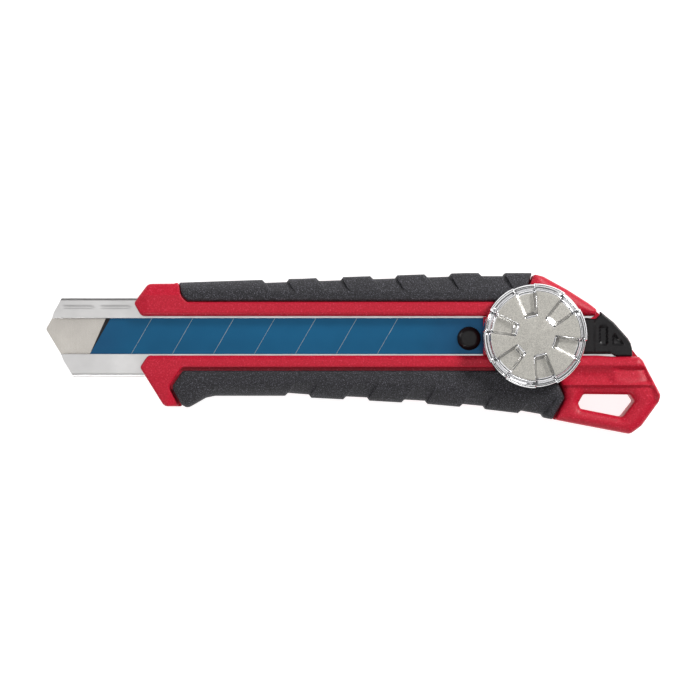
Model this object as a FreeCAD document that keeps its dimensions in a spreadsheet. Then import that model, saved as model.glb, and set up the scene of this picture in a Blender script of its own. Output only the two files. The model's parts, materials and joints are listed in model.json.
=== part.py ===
"""Snap-off knife with an 18 mm blade, a screw-lock wheel and a two-shell handle.

Every outline is drawn in the knife's own layout: x runs from the point of the steel channel
towards the tail, y runs up to the spine from the middle of the lip slot, z is height above the
back face. The bodies are then shifted so that the origin is the middle of the back.
"""
import FreeCAD, Part

import os
import re

import Sketcher

# Driving sizes, in millimetres (slant and taper in degrees).
SIZES = {
    # overall
    "overall_length": 149.7,
    "belly_depth": 23.9,
    # levels above the back face
    "parting": 6.2,
    "core_top": 9.6,
    "rail_top": 11.6,
    "grip_top": 12.0,
    "keel_low": 3.4,
    "grip_low": 1.0,
    # clearances
    "moving_gap": 0.1,
    "slide_gap": 0.05,
    "seat_gap": 0.05,
    "running_fit": 0.025,
    # steel channel: its width and depth follow from the blade, the sheet and the room inside
    "blade_width": 18.0,
    "blade_side": 0.1,
    "sheet_thick": 0.6,
    "channel_room": 3.4,
    "channel_length": 138.0,
    "channel_width": "=blade_width + 2 * (sheet_thick + blade_side)",
    "channel_depth": "=channel_room + 2 * sheet_thick",
    "channel_low": 4.6,
    "spine_top": "=channel_width / 2 + 5.7",
    "lip_slot": 8.7,
    "channel_drop": 0.3,
    "point_rise": 1.7,
    "point_upper": 3.8,
    "point_lower": 6.4,
    "bead_high": 0.25,
    "bead_wide": 1.0,
    "bead_long": 8.0,
    # blade
    "blade_length": 100.0,
    "blade_thick": 0.5,
    "blade_setback": 7.8,
    "blade_slant": 60.0,
    "bevel_wide": 1.4,
    "segment": 10.0,
    "score_wide": 0.25,
    "score_deep": 0.1,
    "hole_inset": 4.7,
    "peg_drop": 0.3,
    "peg_diameter": 5.6,
    "peg_shank": 4.0,
    "peg_above": 1.1,
    # front shell
    "window": 9.7,
    "nose_front": 21.6,
    "nose_low": 23.4,
    "nose_mid": 8.05,
    "nose_back": 24.6,
    "nose_top": "=channel_width / 2 + 3",
    "chin_front": 23.2,
    "chin_low": 24.8,
    "chin_mid": 7.6,
    "chin_back": 28.8,
    "chin_depth": 17.2,
    "rail_upper": 8.2,
    "rail_lower": 7.9,
    "fin_end": 134.3,
    "fin_low": 6.2,
    "trough_gap": 0.1,
    "keel_wall": 1.2,
    "keel_end": 138.5,
    "corner": 1.2,
    "edge_bevel": 0.5,
    # grips
    "grip_start": 32.6,
    "grip_end": 118.6,
    "grip_inner": 8.5,
    "rubber_side": 1.6,
    "grip_front_height": "=channel_width / 2 + 3.35",
    "grip_full_from": 102.1,
    "belly_flat": "=channel_width / 2 + 4.9",
    "belly_start": 58.4,
    "belly_third": "=channel_width / 2 + 6.1",
    "belly_third_at": 79.0,
    "belly_fourth": "=channel_width / 2 + 7.6",
    "belly_fourth_at": 100.9,
    "belly_end": "=channel_width / 2 + 10.6",
    "belly_end_at": 123.3,
    "grip_round": 2.4,
    "notch_deep": 0.75,
    "notch_wide": 5.5,
    "notch_lean": 1.6,
    "upper_notch_first": 53.1,
    "upper_notch_pitch": 13.2,
    "lower_notch_first": 58.7,
    "lower_notch_pitch": 14.2,
    # tail
    "tail_shoulder": 144.1,
    "tail_top": 5.0,
    "tail_point": 14.8,
    "tail_heel": 143.0,
    "hole_left": 130.2,
    "hole_right": 143.0,
    "hole_top": 14.2,
    "hole_bottom": 19.6,
    # end cap
    "cap_top": 10.6,
    "tongue_start": 131.0,
    # slider
    "wheel_at": 118.8,
    "carriage_start": 96.5,
    "carriage_end": 130.0,
    "carriage_lift": 0.15,
    "carriage_low": "=channel_low + sheet_thick + carriage_lift",
    "tongue_low": "=carriage_low + 0.75",
    "clamp_long": 12.6,
    "clamp_wide": 14.4,
    "clamp_thick": 1.8,
    "spring_thick": 0.25,
    "spring_wide": 6.0,
    "block_start": 106.5,
    "block_top": 11.5,
    "block_gap": 0.15,
    # wheel and stud
    "wheel_diameter": 25.4,
    "wheel_low": 12.2,
    "wheel_top": 18.4,
    "flange_top": 14.6,
        "hub_low": 9.0,
    "face_radius": 4.7,
    "pane_radius": 11.9,
    "pane_deep": 1.4,
    "pane_taper": 25.0,
    "pane_half": 14.0,
    "pane_turn": 43.0,
    "spoke_radius": 10.9,
    "rim_bevel": 0.8,
    "stud_diameter": 5.0,
    "stud_head": "=stud_diameter + 1",
    "stud_low": "=channel_low + sheet_thick + slide_gap",
    "hub_wall": 0.7,
    "hub_diameter": "=stud_diameter + 2 * hub_wall",
    "clip_thick": 0.4,
    "clip_diameter": "=stud_diameter + 3",
    "clip_groove": "=stud_diameter - 1",
    "washer_diameter": 15.6,
    "washer_thick": 0.5,
    # screws
    "screw_diameter": 2.2,
    "screw_free": 2.5,
    "screw_head": 3.8,
    "screw_sunk": 0.5,
    "screw_head_high": 1.5,
    "screw_tip": 9.0,
}

# Where the screws stand (x, y).
SCREWS = (
    ("29.4", "-channel_width / 2 - 2.9"),
    ("97", "-channel_width / 2 - 3.6"),
    ("belly_end_at - 4.3", "-belly_end + 5.1"),
    ("145.3", "-belly_depth + 6.7"),
    ("112", "channel_width / 2 + 2.2"),
)

NODES = []
WORD = re.compile(r"[a-z]\w*")

doc = FreeCAD.newDocument("SnapOffKnife")
sheet = doc.addObject("Spreadsheet::Sheet", "Sheet")


# ---------------------------------------------------------------- helpers

def fill_sheet():
    """Write every size to its own cell and name the cell after it; a text is a formula on earlier names."""
    for row, (name, value) in enumerate(SIZES.items(), start=1):
        sheet.set(f"A{row}", name)
        sheet.set(f"B{row}", str(value))
        sheet.setAlias(f"B{row}", name)
    doc.recompute()


def formula(text):
    """Turn the size names in a formula into references to the sheet."""
    def refer(match):
        return "Sheet." + match.group() if match.group() in SIZES else match.group()
    return WORD.sub(refer, str(text))


def number(text):
    """The present value of a formula."""
    value = sheet.evalExpression(formula(text))
    return float(getattr(value, "Value", value))


def bind(thing, field, text):
    thing.setExpression(field, formula(text))


def new_body(label, x="0", y="0"):
    """A body whose own zero lies at layout point x, y."""
    body = doc.addObject("PartDesign::Body", label)
    body.Label = label
    bind(body, "Placement.Base.x", f"{x} - overall_length / 2")
    bind(body, "Placement.Base.y", f"{y} + (belly_depth - spine_top) / 2")
    NODES.append(body)
    return body


def plane(body, role):
    return next(f for f in body.Origin.OriginFeatures if f.Role == role)


def tie(sketch, rules):
    """Add constraints in one go; each rule is a constraint and its formula, or None."""
    indices = sketch.addConstraint([rule for rule, _ in rules])
    for index, (_, text) in zip(indices, rules):
        if text is not None:
            bind(sketch, f"Constraints[{index}]", text)


def place_rules(geometry, point, x, y):
    """The two rules that tie one point of a sketch to its coordinates."""
    return [
        (Sketcher.Constraint("DistanceX", -1, 1, geometry, point, number(x)), x),
        (Sketcher.Constraint("DistanceY", -1, 1, geometry, point, number(y)), y),
    ]


def draw_loop(sketch, points):
    """A closed outline with straight sides through points given as formulas."""
    places = [FreeCAD.Vector(number(x), number(y), 0) for x, y in points]
    count = len(points)
    sides = []
    for i in range(count):
        line = Part.LineSegment(places[i], places[(i + 1) % count])
        sides.append(sketch.addGeometry(line, False))
    rules = []
    for i, (x, y) in enumerate(points):
        joint = Sketcher.Constraint("Coincident", sides[i], 2, sides[(i + 1) % count], 1)
        rules.append((joint, None))
        rules += place_rules(sides[i], 1, x, y)
    tie(sketch, rules)


def draw_circle(sketch, x, y, diameter):
    centre = FreeCAD.Vector(number(x), number(y), 0)
    circle = Part.Circle(centre, FreeCAD.Vector(0, 0, 1), number(diameter) / 2)
    index = sketch.addGeometry(circle, False)
    size = Sketcher.Constraint("Diameter", index, number(diameter))
    tie(sketch, place_rules(index, 3, x, y) + [(size, diameter)])


def new_sketch(body, name, level="0", role="XY_Plane"):
    sketch = body.newObject("Sketcher::SketchObject", name)
    sketch.AttachmentSupport = (plane(body, role), "")
    sketch.MapMode = "FlatFace"
    bind(sketch, "AttachmentOffset.Base.z", level)
    return sketch


def fill(sketch, shapes):
    """Draw each shape: a list of points, or a circle as (x, y, diameter)."""
    for shape in shapes:
        if isinstance(shape, tuple):
            draw_circle(sketch, *shape)
        else:
            draw_loop(sketch, shape)


def add(body, name, shapes, low, high):
    """Pad shapes between two levels."""
    sketch = new_sketch(body, f"{body.Name}_{name}_sketch", low)
    fill(sketch, shapes)
    pad = body.newObject("PartDesign::Pad", f"{body.Name}_{name}")
    pad.Profile = sketch
    bind(pad, "Length", f"{high} - ({low})")
    body.Tip = pad
    doc.recompute()
    return pad


def cut(body, name, shapes, low, high):
    """Pocket shapes between two levels."""
    before = body.Shape.Volume
    sketch = new_sketch(body, f"{body.Name}_{name}_sketch", high)
    fill(sketch, shapes)
    pocket = body.newObject("PartDesign::Pocket", f"{body.Name}_{name}")
    pocket.Profile = sketch
    bind(pocket, "Length", f"{high} - ({low})")
    body.Tip = pocket
    doc.recompute()
    if not body.Shape.Volume < before - 1e-6:
        raise RuntimeError(f"{pocket.Name} cuts nothing")
    return pocket


def upright_edges(body, corners):
    """Names of the vertical edges of a body that stand at the given corners."""
    wanted = [(number(x), number(y)) for x, y in corners]
    names = []
    for index, edge in enumerate(body.Tip.Shape.Edges, start=1):
        first, last = edge.Vertexes[0].Point, edge.Vertexes[-1].Point
        if (first - FreeCAD.Vector(last.x, last.y, first.z)).Length > 1e-4 or abs(first.z - last.z) < 0.05:
            continue
        if any(abs(first.x - x) < 0.01 and abs(first.y - y) < 0.01 for x, y in wanted):
            names.append(f"Edge{index}")
    if not names:
        raise RuntimeError(f"{body.Label} has no edge at {wanted}")
    return names


def finish_edges(body, kind, name, size, edges):
    """Round or bevel named edges of the body as it stands."""
    base = body.Tip
    feature = body.newObject(f"PartDesign::{kind}", f"{body.Name}_{name}")
    feature.Base = (base, edges)
    bind(feature, "Radius" if kind == "Fillet" else "Size", size)
    body.Tip = feature
    doc.recompute()
    return feature


def round_corners(body, name, size, corners):
    return finish_edges(body, "Fillet", name, size, upright_edges(body, corners))


def flat_faces(body, level):
    """Names of the level faces of a body at one height."""
    height = number(level)
    names = []
    for index, face in enumerate(body.Tip.Shape.Faces, start=1):
        box = face.BoundBox
        if box.ZLength < 1e-4 and abs(box.ZMin - height) < 1e-3:
            names.append(f"Face{index}")
    return names


def bevel_faces(body, name, size, level):
    return finish_edges(body, "Chamfer", name, size, flat_faces(body, level))


def box_points(x_low, y_low, x_high, y_high):
    return [(x_low, y_low), (x_high, y_low), (x_high, y_high), (x_low, y_high)]


# ---------------------------------------------------------------- shared outlines

UPPER_NOSE = [
    ("nose_low", "window / 2"),
    ("nose_front", "nose_mid"),
    ("nose_back", "nose_top"),
    ("grip_start", "nose_top"),
]
FIN = [
    ("grip_end + 0.4", "spine_top - 0.5"),
    ("127", "11"),
    ("132", "7.7"),
    ("fin_end", "fin_low"),
]
TAIL = [
    ("tail_shoulder", "-tail_top"),
    ("overall_length - 4.3", "-tail_top - 0.8"),
    ("overall_length", "-tail_point"),
    ("overall_length - 4.5", "-belly_depth + 2.1"),
    ("tail_heel", "-belly_depth"),
    ("127.7", "-belly_end - 0.8"),
    ("belly_end_at + 0.7", "-belly_end"),
]
CHIN = [
    ("grip_start", "-chin_depth"),
    ("chin_back", "-chin_depth"),
    ("chin_front", "-chin_mid"),
    ("chin_low", "-window / 2"),
]
UPPER_CORE_SIDE = [
    ("grip_start", "grip_front_height - rubber_side"),
    ("grip_full_from", "spine_top - rubber_side"),
    ("grip_end - 0.3", "spine_top - rubber_side"),
]
LOWER_CORE_SIDE = [
    ("belly_end_at - 0.4", "-belly_end + rubber_side"),
    ("belly_fourth_at", "-belly_fourth + rubber_side"),
    ("belly_third_at", "-belly_third + rubber_side"),
    ("belly_start", "-belly_flat + rubber_side"),
    ("grip_start + 0.6", "-belly_flat + rubber_side"),
]
HOLE = [
    ("hole_left - 0.3", "-hole_top - 2.3"),
    ("hole_left + 1.1", "-hole_top"),
    ("hole_right - 0.9", "-hole_top - 0.1"),
    ("hole_right + 0.3", "-hole_top - 1.4"),
    ("hole_right - 2.8", "-hole_bottom"),
    ("hole_left", "-hole_bottom + 2.1"),
]
REAR_UNDER_CAP = [
    ("138", "3.2"),
    ("141.5", "-0.9"),
    ("142.4", "-2.6"),
]
KEEL = [
    ("nose_back + 1", "-channel_width / 2 - channel_drop - keel_wall"),
    ("keel_end", "-channel_width / 2 - channel_drop - keel_wall"),
    ("keel_end", "0.5"),
    ("133.2", "5.4"),
    ("125", "channel_width / 2 - channel_drop + keel_wall"),
    ("nose_back + 1", "channel_width / 2 - channel_drop + keel_wall"),
]
OUTER_CORNERS = [UPPER_NOSE[1], UPPER_NOSE[2], CHIN[1], CHIN[2], TAIL[1], TAIL[2], TAIL[3], TAIL[4]]


def shell_outline(rear):
    """The full edge of a shell without its rubber, closed behind by the rear points."""
    return UPPER_NOSE + UPPER_CORE_SIDE + FIN + rear + TAIL + LOWER_CORE_SIDE + CHIN


def cavities():
    """Hollows of the belly, kept clear of the screw posts."""
    def hollow(start, end):
        return [
            (start, "-channel_width / 2 - channel_drop - keel_wall - 0.3"),
            (end, "-channel_width / 2 - channel_drop - keel_wall - 0.3"),
            (end, f"-belly_fourth + rubber_side + 1.5 - 0.13 * ({end} - belly_fourth_at)"),
            (start, f"-belly_fourth + rubber_side + 1.5 - 0.06 * ({start} - belly_fourth_at)"),
        ]
    return [hollow("84", "94"), hollow("101", "115.5")]


# ---------------------------------------------------------------- handle

def make_front_shell():
    body = new_body("front_shell")
    add(body, "core", [shell_outline([("fin_end", "-window / 2")])], "parting", "core_top")
    upper_rail = UPPER_NOSE + [
        ("grip_start", "grip_front_height - rubber_side"),
        ("grip_start + 1.2", "rail_upper + 1"),
        ("grip_start + 2.6", "rail_upper"),
        ("grip_end - 3.2", "rail_upper"),
    ] + FIN + [("fin_end", "window / 2")]
    lower_rail = [("chin_low", "-window / 2"), ("fin_end", "-window / 2")] + TAIL + [
        ("belly_end_at + 3.3", "-belly_end + 5.3"),
        ("belly_end_at + 1.8", "-belly_end + 8.7"),
        ("belly_end_at - 0.8", "-rail_lower"),
        ("grip_start", "-rail_lower"),
        ("grip_start - 2.4", "-grip_inner - 4.2"),
        ("grip_start - 0.5", "-chin_depth + 0.4"),
        ("grip_start - 0.4", "-chin_depth"),
        ("chin_back", "-chin_depth"),
        ("chin_front", "-chin_mid"),
    ]
    add(body, "rails", [upper_rail, lower_rail], "core_top - 0.5", "rail_top")
    add(body, "keel", [KEEL], "keel_low", "parting + 0.5")
    cut(body, "window", [box_points("nose_front - 2", "-window / 2", "fin_end + 0.1", "window / 2")],
        "channel_low + 1", "rail_top")
    trough = box_points("nose_front - 2", "-channel_width / 2 - channel_drop - trough_gap",
                        "overall_length + 1", "channel_width / 2 - channel_drop + trough_gap")
    cut(body, "trough", [trough], "channel_low - seat_gap", "channel_low + channel_depth + seat_gap")
    cut(body, "lanyard_hole", [HOLE], "parting - 0.5", "rail_top")
    cut(body, "hollows", cavities(), "parting - 0.5", "core_top - 1.6")
    pilots = [(x, y, "screw_diameter") for x, y in SCREWS]
    cut(body, "pilots", pilots, "parting - 0.5", "screw_tip + 0.2")
    round_corners(body, "corners", "corner", OUTER_CORNERS)
    slot_edges = [e for e in level_edges(body, "rail_top") if runs_along(body, e, "window / 2")]
    finish_edges(body, "Chamfer", "slot_bevel", "edge_bevel", slot_edges)


def make_back_shell():
    body = new_body("back_shell")
    add(body, "plate", [shell_outline(REAR_UNDER_CAP)], "0", "parting")
    keel_room = [(x, f"({y}) * (1 + seat_gap / keel_wall / 4)") for x, y in KEEL]
    keel_room = [(f"{x} + ({x} - 80) / 80 * seat_gap * 2", y) for x, y in keel_room]
    cut(body, "keel_room", [keel_room], "keel_low - seat_gap", "parting")
    trough = box_points("nose_front - 2", "-channel_width / 2 - channel_drop - trough_gap",
                        "overall_length + 1", "channel_width / 2 - channel_drop + trough_gap")
    cut(body, "trough", [trough], "channel_low - seat_gap", "parting")
    cut(body, "lanyard_hole", [HOLE], "0", "parting")
    cut(body, "hollows", cavities(), "1.6", "parting")
    cut(body, "screw_holes", [(x, y, "screw_free") for x, y in SCREWS], "0", "parting")
    cut(body, "head_seats", [(x, y, "screw_head + 0.2") for x, y in SCREWS],
        "0", "screw_sunk + screw_head_high")
    round_corners(body, "corners", "corner", OUTER_CORNERS)


def spine_at(i):
    """Height of the spine line at the middle of upper notch i."""
    if i == 4:
        return "spine_top"
    rise = "(spine_top - grip_front_height) / (grip_full_from - grip_start)"
    middle = f"(upper_notch_first + {i} * upper_notch_pitch + notch_wide / 2)"
    return f"(grip_front_height + ({middle} - grip_start) * {rise})"


def belly_at(i):
    """Depth of the belly line at the middle of lower notch i."""
    depths = (
        "belly_flat + 0.2",
        "belly_third - 0.2",
        "belly_third + 0.75",
        "belly_fourth + 0.4",
        "belly_end - 1.0",
    )
    return depths[i]


def notch_row(side):
    """Five slanted notches across a grip's outer edge, side +1 at the spine and -1 at the belly."""
    notches = []
    for i in range(5):
        if side > 0:
            start = f"upper_notch_first + {i} * upper_notch_pitch"
            bottom = f"{spine_at(i)} - notch_deep"
            reach = "spine_top + 2"
        else:
            start = f"lower_notch_first + {i} * lower_notch_pitch"
            bottom = f"-({belly_at(i)}) + notch_deep"
            reach = "-belly_depth"
        notches.append([
            (f"{start} + notch_lean * 0.2", bottom),
            (f"{start} + notch_wide + notch_lean * 0.2", bottom),
            (f"{start} + notch_wide - notch_lean", reach),
            (f"{start} - notch_lean", reach),
        ])
    return notches


def make_upper_grip(label, low, high, over_core):
    """Rubber along the spine; over_core says how far it lies over the shell."""
    body = new_body(label)
    outline = [
        ("grip_start", "grip_front_height"),
        ("grip_start", "grip_front_height - rubber_side"),
        ("grip_start + 1.2", "grip_inner + 1"),
        ("grip_start + 2.6", "grip_inner"),
        ("grip_end - 3.2", "grip_inner"),
        ("grip_end - 0.3", "spine_top - rubber_side"),
        ("grip_end", "spine_top"),
        ("grip_full_from", "spine_top"),
    ]
    add(body, "rubber", [outline], low, high)
    level = high if over_core else low
    spine = [e for e in level_edges(body, level) if lies_beyond(body, e, "grip_front_height - 0.2", 1)]
    finish_edges(body, "Fillet", "crown", "grip_round" if over_core else "rubber_side * 0.5", spine)
    core = [
        ("grip_start - 4", "grip_inner - 2"),
        ("grip_start - 4", "grip_front_height - rubber_side"),
    ] + UPPER_CORE_SIDE + [("grip_end + 2", "spine_top - rubber_side"), ("grip_end + 2", "grip_inner - 2")]
    cut(body, "core_room", [core], "parting" if over_core else "grip_low", "core_top" if over_core else "parting")
    cut(body, "notches", notch_row(1), low, high)


def make_lower_grip(label, low, high, over_core):
    """Rubber along the belly with a bulge behind the chin."""
    body = new_body(label)
    outline = [
        ("grip_start + 0.4", "-grip_inner"),
        ("grip_start - 1.9", "-grip_inner - 4.3"),
        ("grip_start", "-chin_depth + 0.2"),
        ("grip_start + 1.7", "-chin_depth - 0.3"),
        ("grip_start + 8.1", "-belly_flat"),
        ("belly_start", "-belly_flat"),
        ("belly_third_at", "-belly_third"),
        ("belly_fourth_at", "-belly_fourth"),
        ("belly_end_at", "-belly_end"),
        ("belly_end_at + 3.1", "-belly_end + 5.3"),
        ("belly_end_at + 1.6", "-belly_end + 8.7"),
        ("belly_end_at - 1.2", "-grip_inner"),
    ]
    add(body, "rubber", [outline], low, high)
    level = high if over_core else low
    belly = [e for e in level_edges(body, level) if lies_beyond(body, e, "-belly_flat + 0.2", -1)]
    finish_edges(body, "Fillet", "crown", "grip_round" if over_core else "rubber_side * 0.5", belly)
    core = [
        ("grip_start - 4", "-grip_inner + 3"),
        ("grip_start - 4", "-chin_depth - 2"),
        ("grip_start + 0.3", "-chin_depth - 2"),
    ] + LOWER_CORE_SIDE[::-1] + [
        ("belly_end_at + 0.7", "-belly_end"),
        ("belly_end_at + 0.7", "-belly_end - 3"),
        ("belly_end_at + 9", "-belly_end - 3"),
        ("belly_end_at + 9", "-grip_inner + 3"),
    ]
    cut(body, "core_room", [core], "parting" if over_core else "grip_low", "core_top" if over_core else "parting")
    cut(body, "notches", notch_row(-1), low, high)


def level_edges(body, level):
    """Names of the straight edges of a body that lie flat at one height."""
    height = number(level)
    names = []
    for index, edge in enumerate(body.Tip.Shape.Edges, start=1):
        box = edge.BoundBox
        if box.ZLength < 1e-4 and abs(box.ZMin - height) < 1e-3:
            names.append(f"Edge{index}")
    return names


def lies_beyond(body, name, limit, side):
    """True for an edge wholly above (side +1) or below (side -1) a y limit."""
    box = body.Tip.Shape.getElement(name).BoundBox
    edge_y = box.YMin if side > 0 else box.YMax
    return side * (edge_y - number(limit)) > 0


def runs_along(body, name, distance):
    """True for an edge at one distance either side of the slot's middle line."""
    box = body.Tip.Shape.getElement(name).BoundBox
    return box.YLength < 1e-4 and abs(abs(box.YMin) - number(distance)) < 1e-3


def make_shell_screws():
    body = new_body("shell_screws")
    add(body, "heads", [(x, y, "screw_head") for x, y in SCREWS], "screw_sunk", "screw_sunk + screw_head_high")
    add(body, "shanks", [(x, y, "screw_diameter") for x, y in SCREWS],
        "screw_sunk + screw_head_high - 0.3", "screw_tip")
    crosses = []
    for x, y in SCREWS:
        for wide, tall in (("1.8", "0.5"), ("0.5", "1.8")):
            crosses.append(box_points(f"{x} - {wide} / 2", f"{y} - {tall} / 2",
                                      f"{x} + {wide} / 2", f"{y} + {tall} / 2"))
    cut(body, "drive_across", crosses[0::2], "screw_sunk", "screw_sunk + 0.8")
    cut(body, "drive_upright", crosses[1::2], "screw_sunk", "screw_sunk + 0.8")


# ---------------------------------------------------------------- channel and blade

CHANNEL_TOP = "channel_low + channel_depth"


def make_blade_channel():
    body = new_body("blade_channel")
    section = new_sketch(body, "channel_section", "0", "YZ_Plane")
    lower = "-channel_width / 2 - channel_drop"
    upper = "channel_width / 2 - channel_drop"
    draw_loop(section, [
        (lower, "channel_low"),
        (upper, "channel_low"),
        (upper, CHANNEL_TOP),
        ("lip_slot / 2", CHANNEL_TOP),
        ("lip_slot / 2", f"{CHANNEL_TOP} - sheet_thick"),
        (f"{upper} - sheet_thick", f"{CHANNEL_TOP} - sheet_thick"),
        (f"{upper} - sheet_thick", "channel_low + sheet_thick"),
        (f"{lower} + sheet_thick", "channel_low + sheet_thick"),
        (f"{lower} + sheet_thick", f"{CHANNEL_TOP} - sheet_thick"),
        ("-lip_slot / 2", f"{CHANNEL_TOP} - sheet_thick"),
        ("-lip_slot / 2", CHANNEL_TOP),
        (lower, CHANNEL_TOP),
    ])
    pad = body.newObject("PartDesign::Pad", "channel_fold")
    pad.Profile = section
    bind(pad, "Length", "channel_length")
    body.Tip = pad
    doc.recompute()
    point = [
        ("-1", f"{upper} + 1"),
        ("-1", f"{lower} - 1"),
        ("point_lower", f"{lower} - 1"),
        ("point_lower", lower),
        ("0", "point_rise"),
        ("point_upper", upper),
        ("point_upper", f"{upper} + 1"),
    ]
    cut(body, "point", [point], "channel_low", CHANNEL_TOP)
    rear = [
        ("channel_length - 12", f"{upper} + 1"),
        ("channel_length - 11", "7.7"),
        ("channel_length - 6", "5.2"),
        ("channel_length - 4.5", "4"),
        ("channel_length + 0.5", "-1"),
        ("channel_length + 1", f"{upper} + 1"),
    ]
    cut(body, "rear_slant", [rear], "channel_low", CHANNEL_TOP)
    beads = [
        box_points(f"{start}", "7.1 - bead_wide / 2", f"{start} + bead_long", "7.1 + bead_wide / 2")
        for start in ("3.9", "13.1")
    ]
    add(body, "beads", beads, f"{CHANNEL_TOP} - 0.2", f"{CHANNEL_TOP} + bead_high")
    bead_ends = [corner for bead in beads for corner in bead]
    round_corners(body, "bead_ends", "bead_wide / 2 - 0.02", bead_ends)


def blade_levels():
    top = f"{CHANNEL_TOP} - sheet_thick - moving_gap"
    return f"{top} - blade_thick", top


PEG_AT = "blade_setback + blade_length - hole_inset"
PEG_Y = "-channel_drop - peg_drop"


def make_blade():
    body = new_body("blade")
    low, high = blade_levels()
    edge = "-blade_width / 2 - channel_drop"
    spine = "blade_width / 2 - channel_drop"
    lean = "blade_width / tan(blade_slant * 1 deg)"
    add(body, "strip", [[
        ("blade_setback", edge),
        ("blade_setback + blade_length", edge),
        ("blade_setback + blade_length", spine),
        (f"blade_setback + {lean}", spine),
    ]], low, high)
    bevels = [name for level in (low, high) for name in level_edges(body, level)
              if lies_beyond(body, name, f"{edge} + 0.1", -1)]
    chamfer = finish_edges(body, "Chamfer", "bevel", "0.2", bevels)
    chamfer.ChamferType = "Two distances"
    bind(chamfer, "Size2", "bevel_wide")
    doc.recompute()
    score = []
    for i in range(1, 8):
        foot = f"(blade_setback + {i} * segment)"
        score.append([
            (foot, f"{edge} + 0.2"),
            (f"{foot} + score_wide", f"{edge} + 0.2"),
            (f"{foot} + score_wide + {lean}", f"{spine} - 0.2"),
            (f"{foot} + {lean}", f"{spine} - 0.2"),
        ])
    cut(body, "scores", score, f"{high} - score_deep", high)
    cut(body, "peg_hole", [(PEG_AT, PEG_Y,
                            "peg_diameter + moving_gap * 2")], low, high)


# ---------------------------------------------------------------- slider

def clamp_room():
    return box_points("wheel_at - clamp_long / 2 - moving_gap", "-clamp_wide / 2 - moving_gap",
                      "wheel_at + clamp_long / 2 + moving_gap", "clamp_wide / 2 + moving_gap")


def make_slider_carriage():
    """Tongue under the blade and a frame behind it that holds the clamp plate."""
    body = new_body("slider_carriage")
    blade_low, blade_high = blade_levels()
    half = "blade_width / 2"
    tongue_top = f"{blade_low} - seat_gap"
    add(body, "tongue", [box_points("carriage_start", f"-{half} - channel_drop + 1",
                                    "carriage_end", f"{half} - channel_drop - 1")],
        "tongue_low", tongue_top)
    frame_front = "blade_setback + blade_length + moving_gap"
    add(body, "frame", [[
        (frame_front, f"-{half} - channel_drop"),
        ("carriage_end", f"-{half} - channel_drop"),
        ("carriage_end", "6.4"),
        ("carriage_end - 3", f"{half} - channel_drop"),
        (frame_front, f"{half} - channel_drop"),
    ]], "carriage_low", blade_high)
    cut(body, "clamp_room", [clamp_room()], "carriage_low", blade_high)
    cut(body, "peg_seat", [(PEG_AT, PEG_Y, "peg_shank")], "tongue_low", tongue_top)


def make_slider_block():
    """Red block in the window that joins the carriage to the wheel's seat."""
    body = new_body("slider_block")
    _, blade_high = blade_levels()
    lip_top = f"{CHANNEL_TOP} + moving_gap"
    add(body, "neck", [box_points("blade_setback + blade_length + moving_gap", "-lip_slot / 2 + block_gap * 2",
                                  "carriage_end", "lip_slot / 2 - block_gap * 2")], blade_high, "block_top")
    add(body, "cover", [box_points("block_start", "-window / 2 + block_gap",
                                   "carriage_end", "window / 2 - block_gap")], lip_top, "block_top")
    cut(body, "hub_bore", [("wheel_at", "0", "hub_diameter + block_gap * 2")], blade_high, "block_top")
    cut(body, "clamp_room", [clamp_room()], blade_high, f"{blade_high} + block_gap")


def make_blade_peg():
    body = new_body("blade_peg")
    blade_low, blade_high = blade_levels()
    tongue_top = f"{blade_low} - seat_gap"
    add(body, "shank", [(PEG_AT, PEG_Y, "peg_shank")], "tongue_low + 0.1", f"{tongue_top} + 0.2")
    add(body, "head", [(PEG_AT, PEG_Y, "peg_diameter")], tongue_top, f"{blade_high} + peg_above")
    bevel_faces(body, "dome", "(peg_diameter - 3.9) / 2", f"{blade_high} + peg_above")


def make_blade_spring():
    """Bowed strip between the channel web and the tongue."""
    body = new_body("blade_spring")
    side = new_sketch(body, "spring_side", "0", "XZ_Plane")
    low = "channel_low + sheet_thick + slide_gap"
    top = "tongue_low - spring_thick"
    draw_loop(side, [
        ("carriage_start + 0.5", low),
        ("carriage_start + 3.5", f"({low} + {top}) / 2"),
        ("carriage_start + 5.2", top),
        ("carriage_start + 6.8", top),
        ("carriage_start + 8.5", f"({low} + {top}) / 2"),
        ("carriage_start + 11", low),
        ("carriage_start + 11", f"{low} + spring_thick"),
        ("carriage_start + 8.6", f"({low} + {top}) / 2 + spring_thick"),
        ("carriage_start + 6.8", f"{top} + spring_thick"),
        ("carriage_start + 5.2", f"{top} + spring_thick"),
        ("carriage_start + 3.4", f"({low} + {top}) / 2 + spring_thick"),
        ("carriage_start + 0.5", f"{low} + spring_thick"),
    ])
    pad = body.newObject("PartDesign::Pad", "spring_strip")
    pad.Profile = side
    bind(pad, "Length", "spring_wide")
    pad.SideType = "Symmetric"
    body.Tip = pad
    doc.recompute()


def make_clamp_plate():
    body = new_body("clamp_plate")
    top = f"{CHANNEL_TOP} - sheet_thick - slide_gap"
    add(body, "plate", [box_points("wheel_at - clamp_long / 2", "-clamp_wide / 2",
                                   "wheel_at + clamp_long / 2", "clamp_wide / 2")],
        f"{top} - clamp_thick", top)
    cut(body, "thread", [("wheel_at", "0", "stud_diameter + running_fit * 2")], f"{top} - clamp_thick", top)
    corners = box_points("wheel_at - clamp_long / 2", "-clamp_wide / 2",
                         "wheel_at + clamp_long / 2", "clamp_wide / 2")
    round_corners(body, "corners", "1", corners)


# ---------------------------------------------------------------- wheel

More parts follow.
